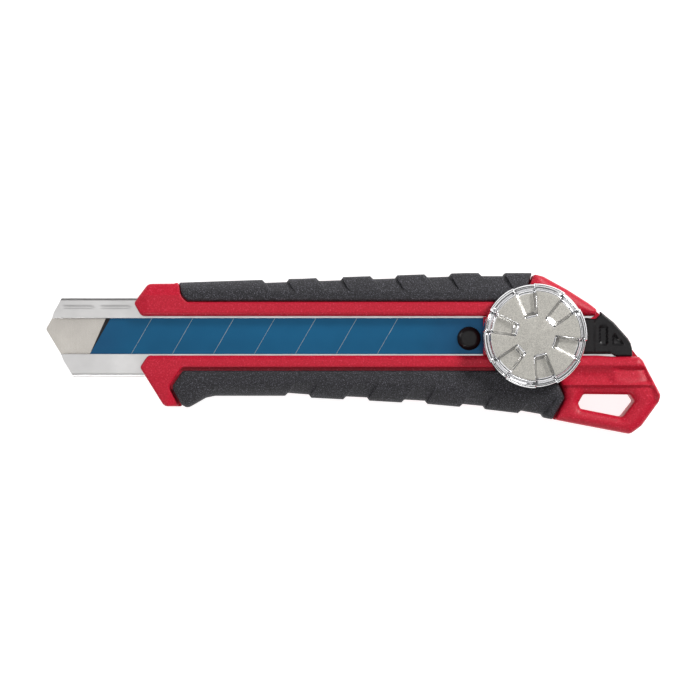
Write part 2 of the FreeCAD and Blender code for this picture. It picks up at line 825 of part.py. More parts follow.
def make_lock_wheel():
    """Die-cast wheel turned about its own zero: six sunk panes and six stepped spokes."""
    body = new_body("lock_wheel", "wheel_at")
    section = new_sketch(body, "wheel_section", "0", "XZ_Plane")
    rim = "wheel_diameter / 2"
    pane_top = "wheel_top - pane_deep"
    draw_loop(section, [
        ("stud_diameter / 2", "hub_low"),
        ("hub_diameter / 2", "hub_low"),
        ("hub_diameter / 2", "wheel_low"),
        (f"{rim} - 0.8", "wheel_low"),
        (rim, "wheel_low + 0.5"),
        (rim, "flange_top - 0.3"),
        (f"{rim} - 0.3", "flange_top"),
        ("pane_radius", "flange_top"),
        ("pane_radius", f"{pane_top} - rim_bevel"),
        ("pane_radius - rim_bevel", pane_top),
        ("spoke_radius", pane_top),
        ("spoke_radius", "wheel_top - 0.3"),
        ("spoke_radius - 0.3", "wheel_top"),
        ("0", "wheel_top"),
        ("0", "wheel_top - 1.6"),
        ("stud_head / 2", "wheel_top - 1.6"),
        ("stud_head / 2", "wheel_low + 0.6"),
        ("stud_diameter / 2", "wheel_low + 0.6"),
    ])
    turn = body.newObject("PartDesign::Revolution", "wheel_turning")
    turn.Profile = section
    turn.ReferenceAxis = (section, ["V_Axis"])
    turn.Angle = 360
    body.Tip = turn
    doc.recompute()
    reach = "wheel_diameter * 0.56"
    pane = [("face_radius", "-1"), (reach, "-1"), (reach, "1"), ("face_radius", "1")]
    pane = cut(body, "pane", [fan(pane, "pane_turn", "pane_half")], pane_top, "wheel_top")
    bind(pane, "TaperAngle", "-pane_taper")
    around(body, "panes", [pane])
    step = [("spoke_radius - 0.05", "-1"), ("pane_radius + 0.02", "-1"),
            ("pane_radius + 0.02", "1"), ("spoke_radius - 0.05", "1")]
    step = cut(body, "step", [fan(step, "pane_turn + 30", "30 - pane_half")], "flange_top", "wheel_top")
    around(body, "steps", [step])


def fan(corners, turn, half):
    """Corners given as (radius, side): side -1 or +1 is half an opening either way from a direction."""
    points = []
    for radius, side in corners:
        angle = f"(({turn}) + ({side}) * ({half})) * 1 deg"
        points.append((f"({radius}) * cos({angle})", f"({radius}) * sin({angle})"))
    return points


def around(body, name, features):
    """Repeat features six times about the body's upright axis."""
    pattern = body.newObject("PartDesign::PolarPattern", f"{body.Name}_{name}")
    pattern.Originals = features
    pattern.Axis = (plane(body, "Z_Axis"), [""])
    pattern.Angle = 360
    pattern.Occurrences = 6
    body.Tip = pattern
    doc.recompute()


def make_wheel_stud():
    body = new_body("wheel_stud", "wheel_at")
    add(body, "thread", [("0", "0", "stud_diameter")], "stud_low + clip_thick + 0.1", "wheel_top - 2")
    add(body, "head", [("0", "0", "stud_head")], "wheel_low + 0.6", "wheel_top - 1.6")
    add(body, "end", [("0", "0", "clip_groove")], "stud_low", "stud_low + clip_thick + 0.3")


def make_stud_clip():
    body = new_body("stud_clip", "wheel_at")
    add(body, "ring", [("0", "0", "clip_diameter")], "stud_low + 0.05", "stud_low + 0.05 + clip_thick")
    cut(body, "seat", [("0", "0", "clip_groove")], "stud_low", "stud_low + 0.05 + clip_thick")
    cut(body, "mouth", [box_points("0", "-clip_groove * 0.4", "clip_diameter", "clip_groove * 0.4")],
        "stud_low", "stud_low + 0.05 + clip_thick")


def make_friction_washer():
    body = new_body("friction_washer", "wheel_at")
    low, high = "rail_top + slide_gap", "rail_top + slide_gap + washer_thick"
    add(body, "ring", [("0", "0", "washer_diameter")], low, high)
    cut(body, "bore", [("0", "0", "hub_diameter + 0.1")], low, high)


# ---------------------------------------------------------------- end cap

def make_end_cap():
    """Plug for the loading mouth: a plate outside and a tongue inside the channel."""
    body = new_body("end_cap")
    back = [
        ("fin_end + moving_gap", "fin_low - 0.1"),
        ("136.8", "4.8"),
        ("138.1", "3.5"),
        ("141.8", "-0.5"),
        ("142.5", "-1.8"),
        ("142.9", "-tail_top + moving_gap"),
    ]
    plate_low = f"{CHANNEL_TOP} + seat_gap"
    front = [
        ("138.6", "-tail_top + moving_gap"),
        ("137.8", "-window / 2 + 0.5"),
        ("carriage_end + 0.4", "-window / 2 + 0.5"),
        ("carriage_end + 0.4", "window / 2 - 0.5"),
        ("fin_end + moving_gap", "window / 2 - 0.4"),
    ]
    add(body, "plate", [back + front], plate_low, "cap_top")
    inside = "channel_low + sheet_thick + moving_gap"
    inside_top = f"{CHANNEL_TOP} - sheet_thick - moving_gap"
    add(body, "neck", [box_points("tongue_start + 1", "-lip_slot / 2 + moving_gap * 2",
                                  "tongue_start + 7", "lip_slot / 2 - moving_gap * 4")],
        f"{inside_top} - 0.5", f"{plate_low} + 0.5")
    tongue = [
        ("tongue_start", "-blade_width / 2 - channel_drop"),
        ("overall_length - 3.5", "-blade_width / 2 - channel_drop"),
        ("tail_shoulder + 0.4", "-tail_top - 0.9"),
        ("142.7", "-tail_top + 0.4"),
        ("142.1", "-1.6"),
        ("138.1", "2.9"),
        ("fin_end + moving_gap", "4.1"),
        ("tongue_start", "4.4"),
    ]
    add(body, "tongue", [tongue], inside, inside_top)
    heel = [
        ("channel_length + 0.2", "-tail_top + moving_gap"),
        ("142.7", "-tail_top + moving_gap"),
        ("142.3", "-1.8"),
        ("141.6", "-0.6"),
        ("138.7", "2.6"),
        ("channel_length + 0.2", "2"),
    ]
    add(body, "heel", [heel], "parting + moving_gap", f"{plate_low} + 0.5")
    bevel_faces(body, "edge", "0.4", "cap_top")
    recess = [("137.9", "0.8"), ("137.9", "-2"), ("140.7", "-2")]
    slot = box_points("135.1", "-2.1", "136.4", "2.5")
    cut(body, "thumb_marks", [recess, slot], "cap_top - 0.8", "cap_top")


# ---------------------------------------------------------------- checks and export

def check_document():
    """Stop on any failed feature and on any empty or broken sub-part."""
    doc.recompute()
    for thing in doc.Objects:
        if any(word in thing.State for word in ("Invalid", "Error")):
            raise RuntimeError(f"{thing.Name} failed: {thing.State}")
    for node in NODES:
        if node.Shape.isNull() or not node.Shape.isValid():
            raise RuntimeError(f"{node.Label} has no valid shape")


def export_nodes():
    os.makedirs("parts", exist_ok=True)
    for node in NODES:
        node.Shape.exportStep(f"parts/{node.Label}.step")
        box = node.Shape.BoundBox
        print(f"{node.Label:20s} solids {len(node.Shape.Solids)} volume {node.Shape.Volume:9.1f}"
              f"  x {box.XMin:7.2f} {box.XMax:7.2f}  y {box.YMin:7.2f} {box.YMax:7.2f}"
              f"  z {box.ZMin:6.2f} {box.ZMax:6.2f}")


fill_sheet()
make_front_shell()
make_back_shell()
make_upper_grip("upper_grip_front", "parting", "grip_top", True)
make_lower_grip("lower_grip_front", "parting", "grip_top", True)
make_upper_grip("upper_grip_back", "grip_low", "parting", False)
make_lower_grip("lower_grip_back", "grip_low", "parting", False)
make_shell_screws()
make_blade_channel()
make_blade()
make_slider_carriage()
make_slider_block()
make_blade_peg()
make_blade_spring()
make_clamp_plate()
make_lock_wheel()
make_wheel_stud()
make_stud_clip()
make_friction_washer()
make_end_cap()
check_document()
export_nodes()
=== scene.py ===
"""Looks of a snap-off knife: moulded shells, rubber grips, steel channel, coated blade, cast wheel.

Every outline is drawn in the knife's own layout in millimetres: x runs from the point of the steel
channel towards the tail, y up to the spine from the wheel's axis, z is height above the back face.
place() turns a layout point into the frame's metres.
"""
import json
import math

import bmesh
import bpy
import numpy as np
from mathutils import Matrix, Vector
from mathutils.geometry import delaunay_2d_cdt


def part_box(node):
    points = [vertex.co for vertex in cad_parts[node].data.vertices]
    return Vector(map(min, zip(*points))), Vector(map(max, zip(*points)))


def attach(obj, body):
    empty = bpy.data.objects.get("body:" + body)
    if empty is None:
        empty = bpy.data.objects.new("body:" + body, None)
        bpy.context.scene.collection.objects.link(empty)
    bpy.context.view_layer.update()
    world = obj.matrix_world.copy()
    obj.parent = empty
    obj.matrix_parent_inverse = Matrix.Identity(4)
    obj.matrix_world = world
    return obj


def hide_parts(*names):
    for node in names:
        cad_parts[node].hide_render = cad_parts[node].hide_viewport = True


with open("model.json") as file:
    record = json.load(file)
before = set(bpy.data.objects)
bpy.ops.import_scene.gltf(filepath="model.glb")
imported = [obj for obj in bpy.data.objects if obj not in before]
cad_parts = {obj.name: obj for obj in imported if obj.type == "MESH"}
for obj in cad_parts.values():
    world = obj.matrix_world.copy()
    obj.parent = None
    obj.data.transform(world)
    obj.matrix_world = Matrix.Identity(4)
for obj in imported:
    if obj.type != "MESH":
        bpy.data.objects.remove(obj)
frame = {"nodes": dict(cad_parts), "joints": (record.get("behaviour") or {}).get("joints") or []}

bl_info = {
    "name": "Snap-off knife",
    "version": (1, 0, 0),
    "blender": (4, 5, 0),
    "location": "View3D > Sidebar > Knife",
    "description": "Builds the visible surfaces of a snap-off knife around its packed frame",
    "category": "Object",
}

MM = 0.001
JOINTS = {joint["name"]: joint for joint in frame["joints"]}
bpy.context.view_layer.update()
POINT_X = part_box("blade_channel")[0].x
AXIS_X, AXIS_Y = JOINTS["wheel_turn"]["pos_m"][:2]


def box_mm(node):
    """A node's lowest and highest corners in layout millimetres."""
    low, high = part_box(node)
    return tuple(((c.x - POINT_X) / MM, (c.y - AXIS_Y) / MM, c.z / MM) for c in (low, high))


CHANNEL_LOW, CHANNEL_HIGH = box_mm("blade_channel")
BLADE_LOW, BLADE_HIGH = box_mm("blade")
PEG_LOW, PEG_HIGH = box_mm("blade_peg")

# Heights of the stacked parts, and half widths of the openings.
PARTING = box_mm("back_shell")[1][2]
RAIL_TOP = box_mm("front_shell")[1][2]
GRIP_TOP = box_mm("upper_grip_front")[1][2]
CAP_TOP = box_mm("end_cap")[1][2]
LIP_TOP = 9.2
LIP_UNDER = 8.0
BACK_WALL = 4.4
GRIP_BOTTOM = 0.9
CORE_HIGH, CORE_LOW = 10.2, 7.6
SLOT = 4.35
WINDOW = 4.85

SHEET = 0.6
SCORE_LEAN = 1 / math.tan(math.radians(60))
SEGMENT = 0.010
SEAT_RADIUS, SEAT_FLOOR_RADIUS, SEAT_TOP = 2.1, 2.3, 2.0


# ---------------------------------------------------------------- settings

class KnifeForm(bpy.types.PropertyGroup):
    """Shape sizes that a user would change."""
    rubber_crown: bpy.props.FloatProperty(
        name="Rubber crown", description="Fall of a grip from its flat to its side, in mm", default=3.0)
    notch_depth: bpy.props.FloatProperty(
        name="Notch depth", description="Depth of the finger notches, in mm", default=0.75, min=0.0)
    pane_depth: bpy.props.FloatProperty(
        name="Pane depth", description="Depth of the wheel's panes, in mm", default=1.4, min=0.1)
    screw_turn: bpy.props.FloatProperty(
        name="Screw turn", description="Turn from one screw's cross recess to the next", default=0.5,
        subtype="ANGLE")


class KnifeFinish(bpy.types.PropertyGroup):
    """Colours and surface sizes that a user would change."""
    red: bpy.props.FloatVectorProperty(
        name="Shell red", description="Colour of the moulded shells", subtype="COLOR",
        default=(0.590, 0.010, 0.034), min=0, max=1)
    rubber: bpy.props.FloatVectorProperty(
        name="Rubber", description="Colour of the grips", subtype="COLOR",
        default=(0.0145, 0.014, 0.017), min=0, max=1)
    blade: bpy.props.FloatVectorProperty(
        name="Blade blue", description="Colour of the blade's coating", subtype="COLOR",
        default=(0.010, 0.122, 0.262), min=0, max=1)
    steel: bpy.props.FloatVectorProperty(
        name="Steel", description="Colour of the folded channel", subtype="COLOR",
        default=(0.74, 0.73, 0.725), min=0, max=1)
    cast: bpy.props.FloatVectorProperty(
        name="Cast metal", description="Colour of the plated wheel", subtype="COLOR",
        default=(0.62, 0.60, 0.55), min=0, max=1)
    black: bpy.props.FloatVectorProperty(
        name="Black plastic", description="Colour of cap, peg and carriage", subtype="COLOR",
        default=(0.008, 0.007, 0.008), min=0, max=1)
    grain: bpy.props.FloatProperty(
        name="Rubber grain", description="Noise scale of the rubber's grain, per metre", default=4400.0)
    texture: bpy.props.FloatProperty(
        name="Shell texture", description="Noise scale of the shell's texture, per metre", default=5200.0)


def form():
    """The scene's shape sizes."""
    return bpy.context.scene.knife_form


def finish():
    """The scene's colours and surface sizes."""
    return bpy.context.scene.knife_finish


# ---------------------------------------------------------------- materials

def surface(name, color, roughness, metallic=0.0, specular=0.5):
    """A material with its shader's own sockets set, and the node tree to add to."""
    material = bpy.data.materials.new(name)
    material.use_nodes = True
    tree = material.node_tree
    shader = tree.nodes["Principled BSDF"]
    shader.inputs["Base Color"].default_value = (*color, 1)
    shader.inputs["Roughness"].default_value = roughness
    shader.inputs["Metallic"].default_value = metallic
    shader.inputs["Specular IOR Level"].default_value = specular
    return material, tree, shader


def place_node(tree, kind, **values):
    """Add a node; values whose names are inputs set them, the rest are properties."""
    node = tree.nodes.new(kind)
    for key, value in values.items():
        if key in node.inputs:
            node.inputs[key].default_value = value
        else:
            setattr(node, key, value)
    return node


def link(tree, source, output, target, socket):
    tree.links.new(source.outputs[output], target.inputs[socket])


def object_point(tree, stretch=(1, 1, 1)):
    """Object coordinates through a mapping."""
    coordinates = place_node(tree, "ShaderNodeTexCoord")
    mapping = place_node(tree, "ShaderNodeMapping", Scale=stretch)
    link(tree, coordinates, "Object", mapping, "Vector")
    return mapping


def grain(tree, scale, detail=2.0, stretch=(1, 1, 1), roughness=0.5):
    noise = place_node(tree, "ShaderNodeTexNoise", Scale=scale, Detail=detail, Roughness=roughness)
    link(tree, object_point(tree, stretch), "Vector", noise, "Vector")
    return noise


def ramp(tree, source, output, stops):
    """A colour ramp over a value; stops are (place, colour)."""
    node = place_node(tree, "ShaderNodeValToRGB")
    while len(node.color_ramp.elements) < len(stops):
        node.color_ramp.elements.new(0.5)
    for element, (place, color) in zip(node.color_ramp.elements, stops):
        element.position = place
        element.color = (*color, 1)
    link(tree, source, output, node, "Fac")
    return node


def shade(color, factor):
    return tuple(min(1.0, c * factor) for c in color)


def bump(tree, shader, source, output, distance, strength=1.0):
    """Add relief to the shader's normal, on top of any that is there."""
    node = place_node(tree, "ShaderNodeBump", Strength=strength, Distance=distance)
    before = shader.inputs["Normal"].links
    if before:
        tree.links.new(before[0].from_socket, node.inputs["Normal"])
    link(tree, source, output, node, "Height")
    link(tree, node, "Normal", shader, "Normal")


def vary_roughness(tree, shader, source, low, high):
    node = place_node(tree, "ShaderNodeMapRange")
    node.inputs["To Min"].default_value = low
    node.inputs["To Max"].default_value = high
    tree.links.new(source.outputs[0], node.inputs["Value"])
    link(tree, node, "Result", shader, "Roughness")


def red_plastic():
    """Spark-eroded moulding: a fine grain, with tiny pale specks where it catches the light."""
    red = tuple(finish().red)
    material, tree, shader = surface("moulded_red", red, 0.42, specular=0.3)
    fine = grain(tree, finish().texture, 3)
    tone = ramp(tree, grain(tree, 2600, 4), 0, [
        (0.30, shade(red, 0.82)),
        (0.52, red),
        (0.66, (0.66, 0.026, 0.060)),
        (0.76, (0.78, 0.10, 0.16)),
    ])
    link(tree, tone, "Color", shader, "Base Color")
    bump(tree, shader, fine, 0, 0.00006, 0.55)
    bump(tree, shader, grain(tree, 400, 2), 0, 0.00006, 0.25)
    vary_roughness(tree, shader, grain(tree, 900, 3), 0.34, 0.52)
    return material


def black_rubber():
    """Soft rubber with a coarse grain whose tips carry painted highlights: pale glints painted into its
    colour.
    """
    base = tuple(finish().rubber)
    material, tree, shader = surface("grained_rubber", base, 0.6, specular=0.45)
    coarse = grain(tree, finish().grain, 5, roughness=0.62)
    # Painted highlight: the ramp's two pale top stops light the grain's tips everywhere, standing in for
    # glints.
    tone = ramp(tree, coarse, 0, [
        (0.34, shade(base, 0.45)),
        (0.48, base),
        (0.57, shade(base, 2.6)),
        (0.66, shade(base, 12.0)),
    ])
    link(tree, tone, "Color", shader, "Base Color")
    bump(tree, shader, coarse, 0, 0.00018, 0.85)
    vary_roughness(tree, shader, coarse, 0.75, 0.45)
    return material


def black_plastic(name="moulded_black", roughness=0.38):
    base = tuple(finish().black)
    material, tree, shader = surface(name, base, roughness, specular=0.35)
    fine = grain(tree, 4200, 3)
    tone = ramp(tree, grain(tree, 1500, 3), 0, [(0.35, shade(base, 0.8)), (0.65, shade(base, 1.4))])
    link(tree, tone, "Color", shader, "Base Color")
    bump(tree, shader, fine, 0, 0.00004, 0.4)
    vary_roughness(tree, shader, grain(tree, 700, 3), roughness - 0.06, roughness + 0.1)
    return material


def bright_steel(name="channel_steel", color=None, roughness=0.30, along=(1, 22, 22)):
    """Rolled sheet with faint lines along the knife and cloudy polish."""
    base = tuple(color or finish().steel)
    material, tree, shader = surface(name, base, roughness, metallic=1.0)
    lines = grain(tree, 420, 4, along)
    clouds = grain(tree, 130, 4)
    tone = ramp(tree, clouds, 0, [(0.30, shade(base, 0.90)), (0.55, base), (0.75, shade(base, 1.12))])
    link(tree, tone, "Color", shader, "Base Color")
    bump(tree, shader, lines, 0, 0.00001, 0.35)
    vary_roughness(tree, shader, lines, roughness - 0.07, roughness + 0.10)
    return material


def web_steel():
    """The channel's floor: the same sheet, glossier, with a darker, warmer copy of its colour as painted
    reflection of the room.
    """
    return bright_steel("channel_web_steel", (0.56, 0.53, 0.49), 0.20, (18, 1, 18))


def hardware_steel(name, color, roughness=0.33):
    material, tree, shader = surface(name, color, roughness, metallic=1.0)
    clouds = grain(tree, 500, 4)
    tone = ramp(tree, clouds, 0, [(0.3, shade(color, 0.85)), (0.7, shade(color, 1.1))])
    link(tree, tone, "Color", shader, "Base Color")
    bump(tree, shader, grain(tree, 2600, 2), 0, 0.00002, 0.3)
    vary_roughness(tree, shader, clouds, roughness - 0.08, roughness + 0.1)
    return material


def cast_satin():
    """Blasted and plated flats of the wheel."""
    base = tuple(finish().cast)
    material, tree, shader = surface("blasted_cast_metal", base, 0.46, metallic=0.85)
    pits = grain(tree, 5200, 4, roughness=0.6)
    tone = ramp(tree, pits, 0, [(0.36, shade(base, 0.74)), (0.50, base), (0.64, shade(base, 1.2))])
    link(tree, tone, "Color", shader, "Base Color")
    bump(tree, shader, pits, 0, 0.00008, 0.5)
    bump(tree, shader, grain(tree, 600, 3), 0, 0.00008, 0.3)
    vary_roughness(tree, shader, pits, 0.40, 0.58)
    return material


def cast_polish():
    """Bright plated walls and bevels of the wheel."""
    material, tree, shader = surface("polished_cast_metal", (0.83, 0.83, 0.84), 0.10, metallic=1.0)
    ripple = grain(tree, 700, 3)
    bump(tree, shader, ripple, 0, 0.00010, 0.5)
    vary_roughness(tree, shader, grain(tree, 1200, 3), 0.05, 0.22)
    return material


def math_node(tree, operation, first, second=None):
    """A math node; each operand is a number or a (node, output) pair."""
    node = place_node(tree, "ShaderNodeMath", operation=operation)
    for index, value in enumerate((first, second)):
        if isinstance(value, tuple):
            tree.links.new(value[0].outputs[value[1]], node.inputs[index])
        elif value is not None:
            node.inputs[index].default_value = value
    return node


def blade_coating():
    """Blue coating with bare score lines, a ground cutting edge and a colour that darkens towards both ends.
    """
    blue = tuple(finish().blade)
    material, tree, shader = surface("blue_coated_steel", blue, 0.36, metallic=0.6, specular=0.3)
    split = place_node(tree, "ShaderNodeSeparateXYZ")
    link(tree, object_point(tree), "Vector", split, "Vector")
    lean = math_node(tree, "MULTIPLY", (split, "Y"), SCORE_LEAN)
    along = math_node(tree, "SUBTRACT", (split, "X"), (lean, 0))
    tip = POINT_X + BLADE_LOW[0] * MM
    edge = (BLADE_LOW[1] * MM + AXIS_Y) * SCORE_LEAN
    steps = math_node(tree, "DIVIDE", (math_node(tree, "SUBTRACT", (along, 0), tip - edge), 0), SEGMENT)
    part = math_node(tree, "FRACT", (steps, 0))
    scratch = grain(tree, 1500, 3)
    wobble = math_node(tree, "MULTIPLY", (scratch, 0), 0.03)
    score = math_node(tree, "LESS_THAN", (part, 0), (math_node(tree, "ADD", (wobble, 0), 0.001), 0))
    first = math_node(tree, "GREATER_THAN", (steps, 0), 0.5)
    last = math_node(tree, "LESS_THAN", (steps, 0), 7.5)
    score = math_node(tree, "MULTIPLY", (score, 0), (math_node(tree, "MULTIPLY", (first, 0), (last, 0)), 0))
    # The coating's colour darkens towards both ends of the blade, with cloudy noise on top.
    middle = POINT_X + 0.5 * (BLADE_LOW[0] + BLADE_HIGH[0]) * MM
    offset = math_node(tree, "ABSOLUTE", (math_node(tree, "SUBTRACT", (split, "X"), middle), 0))
    ends = math_node(tree, "DIVIDE", (offset, 0), 0.058)
    cloud = math_node(tree, "MULTIPLY", (grain(tree, 90, 4), 0), 0.5)
    ends = math_node(tree, "ADD", (math_node(tree, "POWER", (ends, 0), 2.2), 0), (cloud, 0))
    tone = ramp(tree, ends, 0, [
        (0.10, blue),
        (0.55, (0.010, 0.108, 0.232)),
        (0.95, (0.014, 0.088, 0.198)),
        (1.0, (0.020, 0.070, 0.165)),
    ])
    blend = place_node(tree, "ShaderNodeMix", data_type="RGBA")
    tree.links.new(score.outputs[0], blend.inputs[0])
    tree.links.new(tone.outputs[0], blend.inputs[6])
    blend.inputs[7].default_value = (0.26, 0.34, 0.40, 1)
    tree.links.new(blend.outputs[2], shader.inputs["Base Color"])
    bump(tree, shader, grain(tree, 500, 3, (1, 14, 14)), 0, 0.00001, 0.35)
    vary_roughness(tree, shader, grain(tree, 260, 4), 0.28, 0.44)
    return material


# ---------------------------------------------------------------- mesh helpers

def place(points):
    """Layout millimetres to the frame's metres."""
    points = np.asarray(points, float) * MM
    return points + np.array([POINT_X, AXIS_Y, 0.0])


def smooth(x):
    x = np.clip(x, 0.0, 1.0)
    return x * x * (3 - 2 * x)


def add_object(name, data):
    thing = bpy.data.objects.new(name, data)
    bpy.context.scene.collection.objects.link(thing)
    return thing


def cleaned(mesh, merge=2e-6, collapse=1e-7, turn=True):
    """Merge a mesh's doubles, drop its needle faces and turn the rest outward."""
    work = bmesh.new()
    work.from_mesh(mesh)
    bmesh.ops.remove_doubles(work, verts=work.verts, dist=merge)
    if collapse:
        bmesh.ops.dissolve_degenerate(work, edges=work.edges, dist=collapse)
    if turn:
        bmesh.ops.recalc_face_normals(work, faces=work.faces)
    else:
        work.normal_update()
    work.to_mesh(mesh)
    work.free()


def shaded(piece, sharp):
    """Smooth shading with hard edges past an angle in degrees."""
    for polygon in piece.data.polygons:
        polygon.use_smooth = True
    piece.data.set_sharp_from_angle(angle=math.radians(sharp))
    return piece


def make_piece(name, points, faces, materials):
    """A closed mesh object from layout points, with its doubles merged and faces outward."""
    mesh = bpy.data.meshes.new(name)
    mesh.from_pydata(place(points).tolist(), [], faces)
    cleaned(mesh)
    for material in materials:
        mesh.materials.append(material)
    return shaded(add_object(name, mesh), 32)


def baked(piece):
    """Apply a piece's modifiers and return it as a plain mesh."""
    graph = bpy.context.evaluated_depsgraph_get()
    graph.update()
    mesh = bpy.data.meshes.new_from_object(piece.evaluated_get(graph))
    piece.modifiers.clear()
    piece.data = mesh
    return piece


def cut_with(piece, cutters):
    """Cut closed tools out of a piece and remove the tools."""
    for cutter in cutters:
        modifier = piece.modifiers.new("cut", "BOOLEAN")
        modifier.operation = "DIFFERENCE"
        modifier.solver = "EXACT"
        modifier.object = cutter
    baked(piece)
    for cutter in cutters:
        bpy.data.objects.remove(cutter)
    return shaded(piece, 32)


def round_outline(corners, steps=7):
    """A closed outline from corners (x, y, radius), with each corner as an arc."""
    outline = []
    count = len(corners)
    for i, (x, y, radius) in enumerate(corners):
        corner = np.array([x, y])
        before = np.array(corners[i - 1][:2]) - corner
        after = np.array(corners[(i + 1) % count][:2]) - corner
        long_before, long_after = np.linalg.norm(before), np.linalg.norm(after)
        before, after = before / long_before, after / long_after
        half = 0.5 * math.acos(float(np.clip(before @ after, -1, 1)))
        reach = min(radius / math.tan(half), 0.48 * long_before, 0.48 * long_after) if half > 1e-3 else 0
        if reach < 1e-3 or half > math.pi / 2 - 0.01:
            outline.append(corner)
            continue
        start, end = corner + before * reach, corner + after * reach
        for k in range(steps + 1):
            t = k / steps
            outline.append((1 - t) ** 2 * start + 2 * t * (1 - t) * corner + t * t * end)
    return np.array(outline)


def resampled(loop, step):
    """A closed outline with points no further apart than step."""
    points = []
    for start, end in zip(loop, np.roll(loop, -1, axis=0)):
        parts = max(1, math.ceil(math.hypot(*(end - start)) / step))
        points += [start + (end - start) * k / parts for k in range(parts)]
    return np.array(points)


def inset_points(loop, distance):
    """Points a distance in from an anticlockwise outline."""
    run = np.roll(loop, -1, axis=0) - np.roll(loop, 1, axis=0)
    run = run / np.maximum(np.linalg.norm(run, axis=1), 1e-9)[:, None]
    return loop + distance * np.stack([-run[:, 1], run[:, 0]], -1)


def anticlockwise(loop):
    x, y = loop[:, 0], loop[:, 1]
    area = (x * np.roll(y, -1) - y * np.roll(x, -1)).sum()
    return loop if area > 0 else loop[::-1]


def inside_outline(x, y, loop):
    """Which points are inside a closed outline."""
    inside = np.zeros(x.shape, bool)
    for (ax, ay), (bx, by) in zip(loop, np.roll(loop, -1, axis=0)):
        if ay == by:
            continue
        crosses = (ay > y) != (by > y)
        inside ^= crosses & (x < (bx - ax) * (y - ay) / (by - ay) + ax)
    return inside


def line_distance(x, y, line):
    """Distance from points to an open line."""
    nearest = np.full(x.shape, 1e9)
    for (ax, ay), (bx, by) in zip(line[:-1], line[1:]):
        rx, ry = bx - ax, by - ay
        t = np.clip(((x - ax) * rx + (y - ay) * ry) / max(rx * rx + ry * ry, 1e-12), 0, 1)
        nearest = np.minimum(nearest, (x - ax - t * rx) ** 2 + (y - ay - t * ry) ** 2)
    return np.sqrt(nearest)


def edge_distance(x, y, outline):
    """Distance from points to a closed outline."""
    return line_distance(x, y, np.concatenate([outline, outline[:1]]))


def rolled(distance, radius):
    """Drop of a rounded edge at a distance in from it."""
    inside = np.clip(distance / radius, 0, 1)
    return radius * (1 - np.sqrt(np.clip(1 - (1 - inside) ** 2, 0, 1)))


POINT_STEP = 0.3
EDGE_RINGS = (0.07, 0.17, 0.32, 0.52, 0.8)


def moulding(name, outline, height, floor, materials, holes=(), creases=(), spacing=0.5):
    """A moulded solid over an outline: height(x, y, distance) is its face, floor its flat far side.

    Mesh rings follow the outline's rolled edge, and each crease (a line and half the width of its
    step) gets a row of points on both of its sides.
    """
    loops = [resampled(anticlockwise(outline), POINT_STEP)]
    loops += [resampled(anticlockwise(hole)[::-1], POINT_STEP) for hole in holes]
    points, edges = [], []

    def add_line(line, closed):
        first = len(points)
        points.extend(tuple(p) for p in line)
        last = len(points) - 1
        edges.extend((i, i + 1) for i in range(first, last))
        if closed:
            edges.append((last, first))

    def usable(candidates, margin):
        x, y = candidates[:, 0], candidates[:, 1]
        good = inside_outline(x, y, loops[0])
        for hole in loops[1:]:
            good &= ~inside_outline(x, y, hole)
        for loop in loops:
            good &= edge_distance(x, y, loop) > margin
        return good

    for loop in loops:
        add_line(loop, True)
    lines = []
    for line, half in creases:
        line = np.array(line, float)
        run = line[-1] - line[0]
        normal = np.array([-run[1], run[0]]) / max(np.linalg.norm(run), 1e-9)
        for side in (-1, 1):
            offset = side * half * normal
            dense = [line[0] + offset]
            for start, end in zip(line[:-1], line[1:]):
                parts = max(1, math.ceil(math.hypot(*(end - start)) / POINT_STEP))
                dense += [start + (end - start) * k / parts + offset for k in range(1, parts + 1)]
            run_points = []
            for point, keep in zip(dense, usable(np.array(dense), 0.04)):
                if keep:
                    run_points.append(point)
                    continue
                if len(run_points) > 1:
                    add_line(run_points, False)
                run_points = []
            if len(run_points) > 1:
                add_line(run_points, False)
        lines.append(line)

    def clear_of_lines(candidates, margin):
        good = np.ones(len(candidates), bool)
        for line in lines:
            good &= line_distance(candidates[:, 0], candidates[:, 1], line) > margin
        return candidates[good]

    for distance in EDGE_RINGS:
        for loop in loops:
            ring = inset_points(loop, distance)
            ring = clear_of_lines(ring[usable(ring, distance * 0.96)], 0.12)
            points.extend(tuple(p) for p in ring)
    low, high = outline.min(0), outline.max(0)
    xs = np.arange(low[0], high[0], spacing)
    ys = np.arange(low[1], high[1], spacing * 0.866)
    x, y = np.meshgrid(xs, ys, indexing="ij")
    x = x + (np.arange(len(ys)) % 2)[None, :] * spacing / 2
    grid = np.stack([x.ravel(), y.ravel()], -1)
    grid = clear_of_lines(grid[usable(grid, 0.95)], 0.3)
    points.extend(tuple(p) for p in grid)

    found = delaunay_2d_cdt([Vector(p) for p in points], edges, [], 0, 1e-4, False)
    plan = np.array([tuple(v) for v in found[0]])
    triangles = np.array(found[2])
    middle = plan[triangles].mean(1)
    keep = inside_outline(middle[:, 0], middle[:, 1], loops[0])
    for hole in loops[1:]:
        keep &= ~inside_outline(middle[:, 0], middle[:, 1], hole)
    triangles = triangles[keep]
    x, y = plan[:, 0], plan[:, 1]
    distance = np.minimum.reduce([edge_distance(x, y, loop) for loop in loops])
    z = height(x, y, distance)
    count = len(plan)
    solid = np.concatenate([np.stack([x, y, z], -1), np.stack([x, y, np.full(count, floor)], -1)]).tolist()
    faces = triangles.tolist() + (triangles[:, ::-1] + count).tolist()
    seen = {}
    for a, b, c in triangles.tolist():
        for pair in ((a, b), (b, c), (c, a)):
            seen[pair] = True
    faces += [(a, a + count, b + count, b) for a, b in seen if (b, a) not in seen]
    return make_piece(name, solid, faces, materials)


def slab(name, outline, low, high, materials):
    """A flat-topped solid over any outline."""
    count = len(outline)
    points = [[x, y, low] for x, y in outline] + [[x, y, high] for x, y in outline]
    faces = [list(range(count))[::-1], list(range(count, 2 * count))]
    faces += [(i, (i + 1) % count, count + (i + 1) % count, count + i) for i in range(count)]
    return make_piece(name, points, faces, materials)


